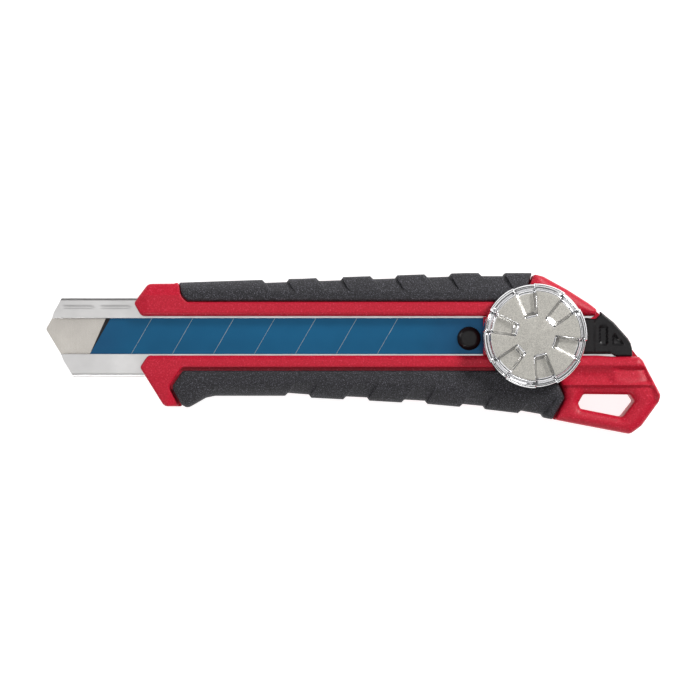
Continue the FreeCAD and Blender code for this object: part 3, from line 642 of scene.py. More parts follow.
def bevelled(piece, width, segments=3, angle=30.0):
    """Round a piece's edges by a width in millimetres."""
    modifier = piece.modifiers.new("edge", "BEVEL")
    modifier.width = width * MM
    modifier.segments = segments
    modifier.limit_method = "ANGLE"
    modifier.angle_limit = math.radians(angle)
    modifier.use_clamp_overlap = True
    modifier.harden_normals = False
    return shaded(baked(piece), 40)


def revolved(profile, centre=(0.0, 0.0), steps=64):
    """Points and faces of a profile, (radius, height) from axis to axis, about an upright axis."""
    points, faces = [], []
    count = len(profile)
    for k in range(steps):
        cosine, sine = math.cos(2 * math.pi * k / steps), math.sin(2 * math.pi * k / steps)
        points += [[centre[0] + radius * cosine, centre[1] + radius * sine, height]
                   for radius, height in profile]
        a, b = k * count, ((k + 1) % steps) * count
        faces += [(a + j, b + j, b + j + 1, a + j + 1) for j in range(count - 1)]
    return points, faces


def joined(name, pieces):
    """Join pieces into one object."""
    work = bmesh.new()
    slots = []
    for piece in pieces:
        start = len(work.faces)
        work.from_mesh(piece.data)
        work.faces.ensure_lookup_table()
        for material in piece.data.materials:
            if material not in slots:
                slots.append(material)
        for face in work.faces[start:]:
            face.material_index = slots.index(piece.data.materials[face.material_index])
    mesh = bpy.data.meshes.new(name)
    work.to_mesh(mesh)
    work.free()
    for material in slots:
        mesh.materials.append(material)
    for piece in pieces:
        bpy.data.objects.remove(piece)
    return add_object(name, mesh)


def settle(piece, body, slot, *nodes):
    """Ride a finished piece on its body and hide the plain nodes it stands for; its slot argument is not
    used.
    """
    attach(piece, body)
    if nodes:
        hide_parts(*nodes)


# ---------------------------------------------------------------- outlines

SPINE_FRONT, SPINE_FULL = (32.6, 13.05), (102.1, 15.4)
BELLY_LINE = ((34.4, -17.55), (38.8, -15.1), (41.2, -14.6), (58.4, -14.6), (65.0, -15.1), (79.0, -15.8),
              (93.1, -16.6), (100.9, -17.3), (107.2, -17.9), (114.8, -18.8), (123.3, -20.3))
UPPER_NOTCHES = tuple((53.1 + 13.2 * i, 58.7 + 13.2 * i) for i in range(5))
LOWER_NOTCHES = tuple((58.7 + 14.2 * i, 64.1 + 14.2 * i) for i in range(5))


def spine_height(x):
    return np.interp(x, [SPINE_FRONT[0], SPINE_FULL[0]], [SPINE_FRONT[1], SPINE_FULL[1]])


def belly_height(x):
    return np.interp(x, [p[0] for p in BELLY_LINE], [p[1] for p in BELLY_LINE])


def notched(points, notches, line, side, radius=0.25):
    """Put the silhouette steps of the notches into a run of outline points ordered by rising x."""
    deep = form().notch_depth
    lean = 0.5
    run = []
    for start, end in notches:
        steps = ((start - lean, 0), (start + lean * 0.4, deep), (end - lean * 0.2, deep), (end + lean, 0))
        run += [(x, float(line(x)) - side * level, radius) for x, level in steps]
    return sorted(run + [(x, y, 0.6) for x, y in points
                         if not any(s - 0.6 < x < e + 0.6 for s, e in notches)])


# Corners (x, y, radius) that the front and back shells share.
NOSE = [(21.5, 8.0, 1.0), (24.9, 12.72, 1.8)]
FIN = [(118.8, 15.0, 0.7), (121.2, 14.5, 3.0), (127.0, 11.3, 4.0)]
TAIL_END = [(144.4, -5.0, 0.8), (145.4, -6.0, 1.2), (149.75, -14.4, 1.6), (149.3, -16.2, 1.8)]
TAIL_BELLY = [(145.2, -21.9, 2.4), (142.4, -23.95, 1.8), (127.7, -21.15, 3.0)]
LANYARD_HOLE = ((129.75, -16.4, 0.8), (131.0, -14.2, 0.8), (142.3, -14.3, 0.7), (143.4, -15.9, 0.7),
                (140.4, -19.75, 0.9), (130.3, -17.75, 0.8))


def upper_rail_outline():
    front = [(31.2, 12.78, 0.3), (31.9, 13.0, 0.3), (32.35, 12.65, 0.2), (33.2, 9.7, 1.2), (34.4, 8.3, 1.2)]
    rear = [(132.2, 8.0, 2.5), (134.4, 6.3, 1.2), (133.6, WINDOW, 1.0)]
    return round_outline([(23.3, WINDOW, 1.4)] + NOSE + front + [(116.2, 8.3, 0.1)] + FIN + rear)


def lower_rail_outline():
    top = [(24.9, -WINDOW + 0.1, 1.3), (134.3, -WINDOW + 0.1, 0.1), (138.0, -5.0, 0.5)]
    rear = [(123.9, -20.4, 0.6), (126.5, -15.0, 1.4), (125.0, -11.4, 2.0), (122.7, -7.7, 0.5)]
    chin = [(33.2, -7.7, 1.2), (30.1, -12.4, 1.3), (32.5, -17.0, 0.6), (28.9, -17.2, 1.8), (23.0, -7.6, 1.0)]
    return round_outline(top + TAIL_END + TAIL_BELLY + rear + chin)


def upper_grip_outline(inner=8.55):
    top = notched([(62.4, 14.0), (84.9, 14.83), SPINE_FULL], UPPER_NOTCHES, spine_height, 1)
    run = [(32.4, 13.05, 0.3)] + top + [(118.45, 15.4, 0.3), (116.0, inner, 0.1)]
    front = [(33.3, 9.85, 1.2), (34.6, inner, 1.4)]
    return round_outline(run[::-1] + front)


def lower_grip_outline():
    bottom = notched(BELLY_LINE[1:-1], LOWER_NOTCHES, belly_height, -1)
    run = [(32.95, -16.7, 0.8), (34.4, -17.6, 1.6)] + bottom + [(123.4, -20.35, 0.5)]
    rear = [(126.2, -15.0, 1.4), (124.7, -11.6, 2.0), (122.4, -8.4, 0.6)]
    front = [(33.4, -8.45, 1.0), (30.75, -12.4, 1.4)]
    return round_outline(run + rear + front)


def back_lower_outline():
    bottom = notched(BELLY_LINE[1:-1], LOWER_NOTCHES, belly_height, -1)
    run = [(33.0, -16.9, 0.4), (34.4, -17.6, 1.6)] + bottom + [(123.4, -20.35, 0.3)]
    inner = [(122.9, -18.75, 0.1), (100.9, -15.75, 0.3), (79.0, -14.25, 0.3), (58.4, -13.05, 0.3),
             (33.3, -13.05, 0.3)]
    return round_outline(run + inner)


# ---------------------------------------------------------------- faces of the mouldings

NOSE_FOLD, CHEEK_FOLD, CHIN_FOLD = 9.95, 5.7, -5.75
UPPER_LEAN, LOWER_LEAN = 0.58, 0.6
UPPER_NOTCH_TOP = 10.7
STRIP_LOW = -7.05


def slope(value, start, length):
    """0 before start, then rising in a straight line to 1 over a length."""
    return np.clip((value - start) / length, 0, 1)


def rail_face(x, y, distance):
    """Upper rail with the nose ahead and the fin behind."""
    nose = slope(y, NOSE_FOLD, 2.8) * 1.5 * slope(34.0 - x, 0, 1.5)
    front = slope(24.4 + 0.05 * y - x, 0, 3.0) * 0.8
    cheek = slope(CHEEK_FOLD - y, 0, 0.9) * 0.5 * slope(122 - x, 0, 3)
    fin = slope(x, 119.5, 2.0) * rolled(distance, 3.2) * 0.62
    return RAIL_TOP - rolled(distance, 0.5) - nose - front - cheek - fin


def tail_face(x, y, distance):
    """Lower rail with the chin ahead and, behind, a tail with a scooped band and a raised facet."""
    cheek = slope(y, CHIN_FOLD, 0.9) * 0.5 * slope(124 - x, 0, 3)
    chin = slope(-9.0 - y, 0, 8.0) * 0.9 * slope(33 - x, 0, 1.0)
    heel = slope(x, 29.6, 2.6) * slope(-13.0 - y, 0, 3.6) * 1.7 * slope(34 - x, 0, 0.5)
    corner = 145.8 - (y + 5.0) * 0.40
    inner = smooth(slope(corner - x, 0, 1.8))
    strip = slope(STRIP_LOW - y, 0, 0.7) * 0.55
    scoop = slope(STRIP_LOW - 0.7 - y, 0, 4.1)
    band = strip + np.sin(scoop * math.pi) * 0.85 + scoop * 0.15
    facet_left = 137.6 + (y + 8.0) * 0.35 + slope(-10.2 - y, 0, 1.6) * 1.6
    on_facet = slope(x, facet_left, 1.6) * slope(STRIP_LOW - 0.5 - y, 0, 0.4) * slope(y, -11.7, 0.5)
    facet_deep = 0.35 + 0.12 * np.clip(x - facet_left, 0, 9) + 0.16 * (y + 11.6)
    facet = on_facet * (band - facet_deep)
    ledge = slope(-12.0 - y, 0, 0.5) * 0.7
    rim = rolled(distance, 3.0) * 0.5
    tail = slope(x, 122.8, 0.8) * (inner * (band - facet + ledge) + rim)
    return RAIL_TOP - rolled(distance, 0.6) - cheek - chin - heel - tail


def level_creases(*rows):
    """Creases along x, each from its first and last x and its y."""
    return tuple(([(first, y), (last, y)], 0.05) for first, last, y in rows)


TAIL_CREASES = level_creases(
    (123.4, 145.0, STRIP_LOW), (123.4, 145.0, STRIP_LOW - 0.7), (124.4, 147.2, -11.85), (124.4, 147.2, -12.5),
    (33.5, 120, CHIN_FOLD), (24.6, 33.4, CHIN_FOLD))
RAIL_CREASES = level_creases((22.0, 32.6, NOSE_FOLD), (22.4, 122.0, CHEEK_FOLD))


def notch_sides(notches, lean, line, top):
    """Both borders and the top edge of each slanted notch, as creases."""
    creases = []
    sign = 1 if top > 0 else -1
    for low, high in notches:
        ends = []
        for x in (low, high):
            y = float(line(x))
            foot = x + lean * abs(y - top)
            creases.append(([(x - 0.3 * lean, y + 0.3 * sign), (foot, top)], 0.09))
            ends.append((foot, top))
        creases.append(([(ends[0][0] + 0.15, top), (ends[1][0] - 0.15, top)], 0.03))
    return creases


def notch_drop(x, y, notches, lean, top, line_y):
    """Sunk depth of the slanted notches: nothing at their top edge, full at the silhouette."""
    reach = np.abs(line_y - y)
    shifted = x - reach * lean
    inside = np.zeros_like(x)
    for low, high in notches:
        inside = np.maximum(inside, slope(shifted, low - 0.09, 0.18) * slope(high + 0.09 - shifted, 0, 0.18))
    past_top = np.abs(y) - abs(top)
    ramp_up = slope(np.abs(y), abs(top), 1.0) * 0.25 + slope(past_top, 0, np.abs(line_y) - abs(top)) * 0.75
    return inside * ramp_up * form().notch_depth * 1.6


def lower_notch_top(x):
    """Top edge of the lower grip's notches, which follow its belly down towards the tail."""
    return np.interp(x, [58, 73, 87, 101, 116], [-11.0, -11.3, -12.2, -13.3, -14.2])


def rim_face(x, y, distance):
    """The rims beside the channel start on the back shell's inner face."""
    return np.full_like(x, BACK_WALL)


def back_face(x, y, distance):
    """The back: flat to rest on, rolled at its edge, with a shallow sunk panel."""
    panel = round_outline(list(PANEL))
    sunk = inside_outline(x, y, panel) * slope(edge_distance(x, y, panel), 0, 0.3) * 0.4
    return rolled(distance, 0.9) + sunk


def upper_grip_face(x, y, distance):
    line = spine_height(x)
    crown = slope(y - 10.6, 0, line - 10.6) ** 1.6 * form().rubber_crown
    notch = notch_drop(x, y, UPPER_NOTCHES, UPPER_LEAN, UPPER_NOTCH_TOP, line)
    return GRIP_TOP - rolled(distance, 0.7) - crown - notch


def lower_grip_face(x, y, distance):
    line = belly_height(x)
    start = np.interp(x, [30, 60, 90, 123], [-11.4, -11.0, -12.0, -14.4])
    crown = slope(start - y, 0, start - line) ** 1.6 * form().rubber_crown
    notch = np.zeros_like(x)
    for low, high in LOWER_NOTCHES:
        top = float(lower_notch_top(low))
        notch = np.maximum(notch, notch_drop(x, y, ((low, high),), LOWER_LEAN, top, line))
    return GRIP_TOP - rolled(distance, 0.8) - crown - notch


def back_upper_face(x, y, distance):
    """The back grips hang from the parting, so their face is the underside and a notch rises into it."""
    notch = notch_drop(x, y, UPPER_NOTCHES, UPPER_LEAN, 11.4, spine_height(x))
    return GRIP_BOTTOM + rolled(distance, 0.6) + notch * 0.7


def back_lower_face(x, y, distance):
    notch = notch_drop(x, y, LOWER_NOTCHES, LOWER_LEAN, -13.2, belly_height(x))
    return GRIP_BOTTOM + rolled(distance, 0.6) + notch * 0.7


def lower_notch_creases():
    creases = []
    for low, high in LOWER_NOTCHES:
        creases += notch_sides(((low, high),), LOWER_LEAN, belly_height, float(lower_notch_top(low)))
    return creases


# ---------------------------------------------------------------- operators

class KNIFE_OT_front_shell(bpy.types.Operator):
    """Red front shell: two rails with nose, chin, fin and tail, and the core between them"""
    bl_idname = "knife.front_shell"
    bl_label = "Front shell"

    def execute(self, context):
        red = red_plastic()
        upper = moulding("spine_rail", upper_rail_outline(), rail_face, PARTING, [red], creases=RAIL_CREASES)
        hole = round_outline(LANYARD_HOLE)
        lower = moulding("belly_rail", lower_rail_outline(), tail_face, PARTING, [red], (hole,), TAIL_CREASES)
        core = [slab(name, np.array(corners), PARTING, top, [red]) for name, top, corners in CORE]
        piece = joined("front_shell_body", [upper, lower] + core)
        settle(piece, "handle", "red_plastic", "front_shell")
        return {"FINISHED"}


# The shell under the rubber, seen only in the grooves beside it: name, top and corners.
CORE = (
    ("core_upper", CORE_HIGH, ((31, 5.2), (31, 9.0), (32.4, 9.9), (118.0, 10.2), (118.0, 5.2))),
    ("core_lower", CORE_HIGH, ((29.5, -5.2), (29.5, -13.0), (32.2, -13.0), (33.6, -10.6), (124.6, -10.6),
                               (124.5, -5.2))),
    ("core_outer", CORE_LOW, ((29.5, -10.0), (29.5, -15.4), (32.4, -16.6), (33.6, -13.0), (58.4, -12.2),
                              (79, -13.4), (100.9, -14.8), (123.0, -17.2), (124.9, -16.0), (124.9, -10.0))),
    ("core_crest", CORE_LOW, ((31.2, 9.5), (31.2, 12.2), (34.0, 12.2), (102.1, 13.2), (117.6, 13.2),
                              (117.6, 9.5))),
)


class KNIFE_OT_back_shell(bpy.types.Operator):
    """Red back shell with its lanyard hole and screw seats"""
    bl_idname = "knife.back_shell"
    bl_label = "Back shell"

    def execute(self, context):
        red = bpy.data.materials["moulded_red"]
        front, mouth = [(23.3, WINDOW - 3, 0.6), NOSE[0]], [(23.0, -7.6, 1.0), (24.5, -4.0, 0.6)]
        outline = round_outline(front + BACK_SPINE + BACK_REAR + BACK_BELLY + mouth)
        hole = round_outline(LANYARD_HOLE)
        holes = [hole] + [disc(x, y, SEAT_RADIUS) for x, y in screw_places()]
        wall = moulding("back_shell_body", outline, back_face, BACK_WALL, [red], holes, PANEL_CREASES, 0.8)
        upper = round_outline([(22.5, 9.4, 0.1)] + BACK_SPINE + [(130.0, 9.4, 0.1)])
        beside = [(24.4, -9.9, 0.1), (140.0, -9.9, 0.2), (140.0, 0.77, 0.1)]
        lower = round_outline(beside + BACK_REAR[3:] + BACK_BELLY)
        rims = [moulding("upper_rim", upper, rim_face, PARTING, [red], (), (), 1.5),
                moulding("lower_rim", lower, rim_face, PARTING, [red], (hole,), (), 1.5)]
        seats = [slab("seat_floor", disc(x, y, SEAT_FLOOR_RADIUS), SEAT_TOP, BACK_WALL, [red])
                 for x, y in screw_places()]
        piece = joined("back_shell_solid", [wall] + rims + seats)
        settle(piece, "handle", "red_plastic", "back_shell")
        return {"FINISHED"}


PANEL = ((40, -6.0, 1.5), (110, -8.0, 1.5), (112, 6.0, 1.5), (40, 6.0, 1.5))
PANEL_CREASES = tuple(([PANEL[i][:2], PANEL[(i + 1) % 4][:2]], 0.1) for i in range(4))
BACK_SPINE = [NOSE[1], (32.3, 12.75, 0.2), (32.6, 11.4, 0.1), (102.1, 13.75, 0.5), (118.3, 13.75, 0.1)] + FIN
BACK_REAR = [(132.2, 8.0, 2.5), (134.4, 6.1, 1.2), (138.0, 3.0, 0.5), (141.5, -0.9, 1.0), (142.6, -2.7, 0.3)]
BACK_REAR += TAIL_END
BACK_BELLY = TAIL_BELLY + [(123.9, -20.4, 0.3), (122.9, -18.7, 0.1), (100.9, -15.7, 0.5), (79.0, -14.2, 0.5),
                           (58.4, -13.0, 0.5), (33.2, -13.0, 0.1), (32.7, -17.2, 0.2), (28.9, -17.2, 1.8)]


def disc(x, y, radius, count=40):
    angles = np.linspace(0, 2 * math.pi, count, endpoint=False)
    return np.stack([x + radius * np.cos(angles), y + radius * np.sin(angles)], -1)


def screw_places():
    """Middle of each screw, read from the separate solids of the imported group."""
    mesh = frame["nodes"]["shell_screws"].data
    found = []
    for vertex in mesh.vertices:
        x, y = (vertex.co.x - POINT_X) / MM, (vertex.co.y - AXIS_Y) / MM
        for group in found:
            if math.hypot(group[0][0] - x, group[0][1] - y) < 4:
                group.append((x, y))
                break
        else:
            found.append([(x, y)])
    return [tuple(0.5 * (min(values) + max(values)) for values in zip(*group)) for group in found]


class KNIFE_OT_grips(bpy.types.Operator):
    """Four rubber grips with slanted finger notches"""
    bl_idname = "knife.grips"
    bl_label = "Rubber grips"

    def execute(self, context):
        rubber = black_rubber()
        upper_creases = notch_sides(UPPER_NOTCHES, UPPER_LEAN, spine_height, UPPER_NOTCH_TOP)
        grips = (
            ("upper_grip_front", upper_grip_outline(), upper_grip_face, upper_creases),
            ("lower_grip_front", lower_grip_outline(), lower_grip_face, lower_notch_creases()),
            ("upper_grip_back", upper_grip_outline(11.3), back_upper_face, ()),
            ("lower_grip_back", back_lower_outline(), back_lower_face, ()),
        )
        for node, outline, face, creases in grips:
            piece = moulding(node + "_rubber", outline, face, PARTING, [rubber], (), creases)
            settle(piece, "handle", "black_rubber", node)
        return {"FINISHED"}


class KNIFE_OT_channel(bpy.types.Operator):
    """Folded steel channel with a pointed front and two beads on its upper lip"""
    bl_idname = "knife.channel"
    bl_label = "Blade channel"

    def execute(self, context):
        piece = channel_mesh([bright_steel(), web_steel()])
        settle(piece, "handle", "channel_steel", "blade_channel")
        return {"FINISHED"}


def channel_section():
    """The folded sheet's section as (y, z), outer side then inner side, with rounded folds."""
    low, high, foot = CHANNEL_LOW[1], CHANNEL_HIGH[1], CHANNEL_LOW[2]
    fold, inner_fold, lip_fold, cut = 1.0, 0.5, 0.2, 0.12
    outer = [(-SLOT, LIP_TOP, cut), (low, LIP_TOP, fold), (low, foot, fold), (high, foot, fold),
             (high, LIP_TOP, fold), (SLOT, LIP_TOP, cut)]
    left, right, bottom, top = low + SHEET, high - SHEET, foot + SHEET, LIP_TOP - SHEET
    inner = [(SLOT, top, cut), (right, top, lip_fold), (right, bottom, inner_fold),
             (left, bottom, inner_fold), (left, top, lip_fold), (-SLOT, top, cut)]
    return round_outline(outer + inner, 6)


# The channel's point, the slopes of its two front edges, and its beads' ends and middle line.
POINT_Y, LOWER_CUT, UPPER_CUT = 1.7, 7.1 / 11.72, 4.3 / 7.7
BEADS, BEAD_Y, BEAD_DEPTH = ((4.0, 11.4), (13.2, 20.4)), 7.05, 0.1
FINE_LENGTH, CHANNEL_LENGTH = 22, 134


def channel_mesh(materials):
    """Sweep the section along x, each line of it from its own start to its own end."""
    section = channel_section()
    dense = []
    for i, (y, z) in enumerate(section):
        ny, nz = section[(i + 1) % len(section)]
        fine = 0.12 if z > LIP_TOP - 0.3 and y > 4 else 0.35
        parts = max(1, int(math.hypot(ny - y, nz - z) / fine))
        dense += [(y + (ny - y) * k / parts, z + (nz - z) * k / parts) for k in range(parts)]
    dense = np.array(dense)
    y, z = dense[:, 0], dense[:, 1]
    start = np.where(y < POINT_Y, (POINT_Y - y) * LOWER_CUT, (y - POINT_Y) * UPPER_CUT) - 0.4
    start = np.maximum(start, -0.3)
    lip = z > LIP_UNDER
    start = start + lip * np.where(y > 0, 0.25 * smooth((6 - y) / 1.5), 0.3 * smooth((y + 6) / 1.5))
    end = np.interp(y, [-10.1, -4.9, 1.0, 5.0, 7.7, 9.2], [139.6, 139.2, 136.8, 132.4, 127.4, 125.2])
    end = np.where(lip & (y > 0), np.interp(y, [4.3, 4.9, 5.2, 9.4], [132.6, 133.7, 133.6, 125.4]), end)
    end = np.where(lip & (y < 0), np.interp(y, [-9.0, -5.0, -4.3], [139.0, 139.0, 137.6]), end)
    fine_share = FINE_LENGTH / CHANNEL_LENGTH
    stretches = np.concatenate([np.linspace(0, 1, 80) * FINE_LENGTH / CHANNEL_LENGTH,
                                np.linspace(fine_share, 1, 14)[1:]])
    x = start[:, None] + (end - start)[:, None] * stretches[None, :]
    height = np.repeat(z[:, None], len(stretches), 1)
    across = np.repeat(y[:, None], len(stretches), 1)
    on_top = (z > LIP_TOP - 0.3)[:, None]
    bead = np.zeros_like(x)
    for first, last in BEADS:
        bead = np.maximum(bead, smooth((x - first) / 1.4 + 0.5) * smooth((last - x) / 1.4 + 0.5))
    bead = bead * np.exp(-((across - BEAD_Y) / 0.38) ** 2) * BEAD_DEPTH
    height = height - bead * on_top
    rows, columns = x.shape
    points = np.stack([x, across, height], -1).reshape(-1, 3).tolist()
    faces = []
    for i in range(rows):
        n = (i + 1) % rows
        for j in range(columns - 1):
            faces.append((i * columns + j, i * columns + j + 1, n * columns + j + 1, n * columns + j))
    piece = make_piece("channel_sheet", points, faces, materials)
    close_ends(piece)
    # The floor's upward faces take the darker, warmer copy of the steel, a painted reflection.
    for polygon in piece.data.polygons:
        centre = polygon.center
        inside = centre.z < 6.0 * MM and abs(polygon.normal.z) > 0.5
        polygon.material_index = 1 if inside else 0
    return piece


def close_ends(piece):
    """Bridge the outer and inner lines of the sheet at its open ends."""
    work = bmesh.new()
    work.from_mesh(piece.data)
    holes = [e for e in work.edges if e.is_boundary]
    filled = bmesh.ops.holes_fill(work, edges=holes, sides=0)["faces"]
    bmesh.ops.triangulate(work, faces=filled)
    bmesh.ops.recalc_face_normals(work, faces=work.faces)
    work.to_mesh(piece.data)
    work.free()
    shaded(piece, 35)


class KNIFE_OT_blade(bpy.types.Operator):
    """Blue coating of the blade and black finish of its peg"""
    bl_idname = "knife.blade"
    bl_label = "Blade and peg"

    def execute(self, context):
        dress("blade", blade_coating())
        top = PEG_HIGH[2]
        x, y = 0.5 * (PEG_LOW[0] + PEG_HIGH[0]), 0.5 * (PEG_LOW[1] + PEG_HIGH[1])
        radius = 0.5 * (PEG_HIGH[0] - PEG_LOW[0])
        shank, collar = 2.0, 7.95
        profile = [(0, PEG_LOW[2]), (shank, PEG_LOW[2]), (shank, collar), (radius, collar),
                   (radius, top - 0.75), (radius - 0.12, top - 0.5), (radius - 0.75, top - 0.1),
                   (radius - 0.95, top - 0.02), (radius - 1.15, top), (0, top)]
        black = black_plastic("peg_black", 0.34)
        peg = make_piece("peg_head", *revolved(profile, (x, y)), [black])
        settle(peg, "slider", "black_steel", "blade_peg")
        # Painted shadow: a thin black sliver under the blade's slanted tip stands in for the shade beside its
        # front edge; the knife has no such part.
        foot = BLADE_LOW[0] + 2.55
        crest = foot + 9.6 * SCORE_LEAN
        edge = np.array([[foot + 0.1, -4.7], [crest - 1.15, 4.9], [crest + 1.2, 4.9], [foot + 1.3, -4.7]])
        shadow_sliver = slab("tip_backing", edge, 7.8, 7.97, [black])
        settle(shadow_sliver, "slider", "black_steel")
        return {"FINISHED"}


def dress(node, material):
    """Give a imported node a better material."""
    mesh = frame["nodes"][node].data
    mesh.materials.clear()
    mesh.materials.append(material)


class KNIFE_OT_wheel(bpy.types.Operator):
    """Cast wheel: one sector of it, repeated round the axis"""
    bl_idname = "knife.wheel"
    bl_label = "Lock wheel"

    def execute(self, context):
        satin, polish = cast_satin(), cast_polish()
        sector = wheel_sector([satin, polish])
        modifier = sector.modifiers.new("ring", "NODES")
        modifier.node_group = ring_tree(satin, polish)
        set_input(modifier, "Count", PANES)
        set_input(modifier, "Centre", (AXIS_X, AXIS_Y, 0))
        wheel = baked(sector)
        wheel.name = "wheel_casting"
        cleaned(wheel.data, merge=3e-6)
        bevelled(wheel, 0.06, 2, 34)
        settle(wheel, "wheel", "chrome", "lock_wheel")
        return {"FINISHED"}


def set_input(modifier, label, value):
    """Set a Geometry Nodes input through its socket's identifier."""
    for item in modifier.node_group.interface.items_tree:
        if item.item_type == "SOCKET" and item.in_out == "INPUT" and item.name == label:
            modifier[item.identifier] = value
            return
    raise KeyError(label)


def new_tree(name, inputs):
    """An empty geometry tree with a geometry input, named inputs and a geometry output."""
    tree = bpy.data.node_groups.new(name, "GeometryNodeTree")
    tree.interface.new_socket("Geometry", in_out="INPUT", socket_type="NodeSocketGeometry")
    for label, kind in inputs:
        tree.interface.new_socket(label, in_out="INPUT", socket_type=kind)
    tree.interface.new_socket("Geometry", in_out="OUTPUT", socket_type="NodeSocketGeometry")
    return tree, tree.nodes.new("NodeGroupInput"), tree.nodes.new("NodeGroupOutput")


def ring_tree(satin, polish):
    """Repeat the incoming sector Count times round Centre, weld it, and lay its two finishes."""
    tree, inputs, output = new_tree("repeat_round_axis", [
        ("Count", "NodeSocketInt"), ("Centre", "NodeSocketVector")])
    line = place_node(tree, "GeometryNodeMeshLine", Offset=(0, 0, 0))
    instances = place_node(tree, "GeometryNodeInstanceOnPoints")
    index = place_node(tree, "GeometryNodeInputIndex")
    step = place_node(tree, "ShaderNodeMath", operation="DIVIDE")
    step.inputs[0].default_value = 2 * math.pi
    angle = place_node(tree, "ShaderNodeMath", operation="MULTIPLY")
    turn = place_node(tree, "ShaderNodeCombineXYZ")
    realize = place_node(tree, "GeometryNodeRealizeInstances")
    weld = place_node(tree, "GeometryNodeMergeByDistance", Distance=0.000004)
    coat = place_node(tree, "GeometryNodeSetMaterial", Material=satin)
    shine = place_node(tree, "GeometryNodeSetMaterial", Material=polish)
    marked = place_node(tree, "GeometryNodeInputNamedAttribute", data_type="BOOLEAN", Name="polished")
    wires = [
        (inputs, "Count", line, "Count"), (inputs, "Centre", line, "Start Location"),
        (line, "Mesh", instances, "Points"), (inputs, "Geometry", instances, "Instance"),
        (inputs, "Count", step, 1), (step, 0, angle, 0), (index, 0, angle, 1), (angle, 0, turn, "Z"),
        (turn, "Vector", instances, "Rotation"), (instances, "Instances", realize, "Geometry"),
        (realize, "Geometry", weld, "Geometry"), (weld, "Geometry", coat, "Geometry"),
        (coat, "Geometry", shine, "Geometry"), (marked, "Attribute", shine, "Selection"),
        (shine, "Geometry", output, "Geometry"),
    ]
    for wire in wires:
        link(tree, *wire)
    return tree


PANES = 6
WHEEL_TOP, WHEEL_LOW, HUB_LOW, HUB_RADIUS = 18.4, 12.2, 9.0, 3.2


def wheel_sector(materials):
    """A sixth of the wheel about its own axis: half a spoke, a sunk pane, half a spoke.

    Each ring of points has a height on the pane and one on the spoke; the pane's half width grows
    outward, so its two walls run nearly parallel.
    """
    top, low = WHEEL_TOP, WHEEL_LOW
    floor = top - form().pane_depth
    turn = math.radians(43.0)
    half = math.pi / PANES
    rings = [
        # radius, height on the pane, height on the spoke, how far the pane's rim is set in
        (0.0, top, top, 0), (4.5, top, top, 0), (4.75, top - 0.05, top, 0), (5.05, top - 0.45, top, 0),
        (5.55, floor + 0.2, top, 0), (5.75, floor, top, 0), (8.2, floor, top, 0), (10.3, floor, top, 0),
        (10.75, floor - 0.08, top, 0), (10.95, floor - 0.3, top - 0.05, 0), (11.1, floor - 0.7, top - 0.3, 0),
        (11.2, floor - 1.1, top - 1.0, 0), (11.3, floor - 1.35, 16.2, 0), (11.42, floor - 1.45, 15.9, 0),
        (11.55, floor - 1.35, 15.9, 0), (11.7, floor - 1.1, 16.15, 0.0), (11.95, floor - 1.0, 16.35, 0.05),
        (12.3, floor - 1.15, 16.3, 0.12), (12.55, floor - 1.5, 16.05, 0.18), (12.67, floor - 2.0, 15.6, 0.2),
        (12.7, 14.2, 15.0, 0.2), (12.7, 12.9, 12.9, 0.1), (12.5, 12.45, 12.45, 0), (11.9, low, low, 0),
        (HUB_RADIUS, low, low, 0), (HUB_RADIUS, HUB_LOW, HUB_LOW, 0), (0.0, HUB_LOW, HUB_LOW, 0),
    ]
    points, faces = [], []
    for radius, pane, spoke, cut in rings:
        reach = max(radius, 0.01)
        wide = min((1.72 + (max(radius, 5.0) - 5.7) * 0.155) / reach, half * 0.72)
        wall = 0.62 if radius < 11 else 0.30
        inner = max(wide - wall / reach, wide * 0.35)
        row = [(share * inner, pane) for share in (0.0, 0.35, 0.7, 1.0)]
        row += [(inner + (wide - inner) * 0.3, pane + (spoke - pane) * 0.22)]
        row += [(inner + (wide - inner) * 0.8, pane + (spoke - pane) * 0.88), (wide, spoke)]
        row += [(wide + (half - wide) * share, spoke) for share in (0.3, 0.65, 1.0)]
        whole = [(-a, z) for a, z in row[:0:-1]] + row
        for angle, height in whole:
            r = radius - cut * (1.0 if abs(angle) < inner + 1e-6 else 0.0)
            points.append((r * math.cos(turn + angle), r * math.sin(turn + angle), height))
    count = len(points) // len(rings)
    for i in range(len(rings) - 1):
        for j in range(count - 1):
            a = i * count + j
            faces.append((a, a + count, a + count + 1, a + 1))
    return sector_object("wheel_sector", points, faces, materials)


def sector_object(name, points, faces, materials):
    """A sector about the frame's zero, in metres, with its steep and edge faces marked polished."""
    mesh = bpy.data.meshes.new(name)
    mesh.from_pydata([[c * MM for c in p] for p in points], [], faces)
    cleaned(mesh, turn=False)
    polished = mesh.attributes.new("polished", "BOOLEAN", "FACE")
    for polygon in mesh.polygons:
        steep = abs(polygon.normal.z) < 0.985
        outside = math.hypot(*polygon.center[:2]) > 10.85 * MM
        polished.data[polygon.index].value = steep or outside
    for material in materials:
        mesh.materials.append(material)
    return add_object(name, mesh)


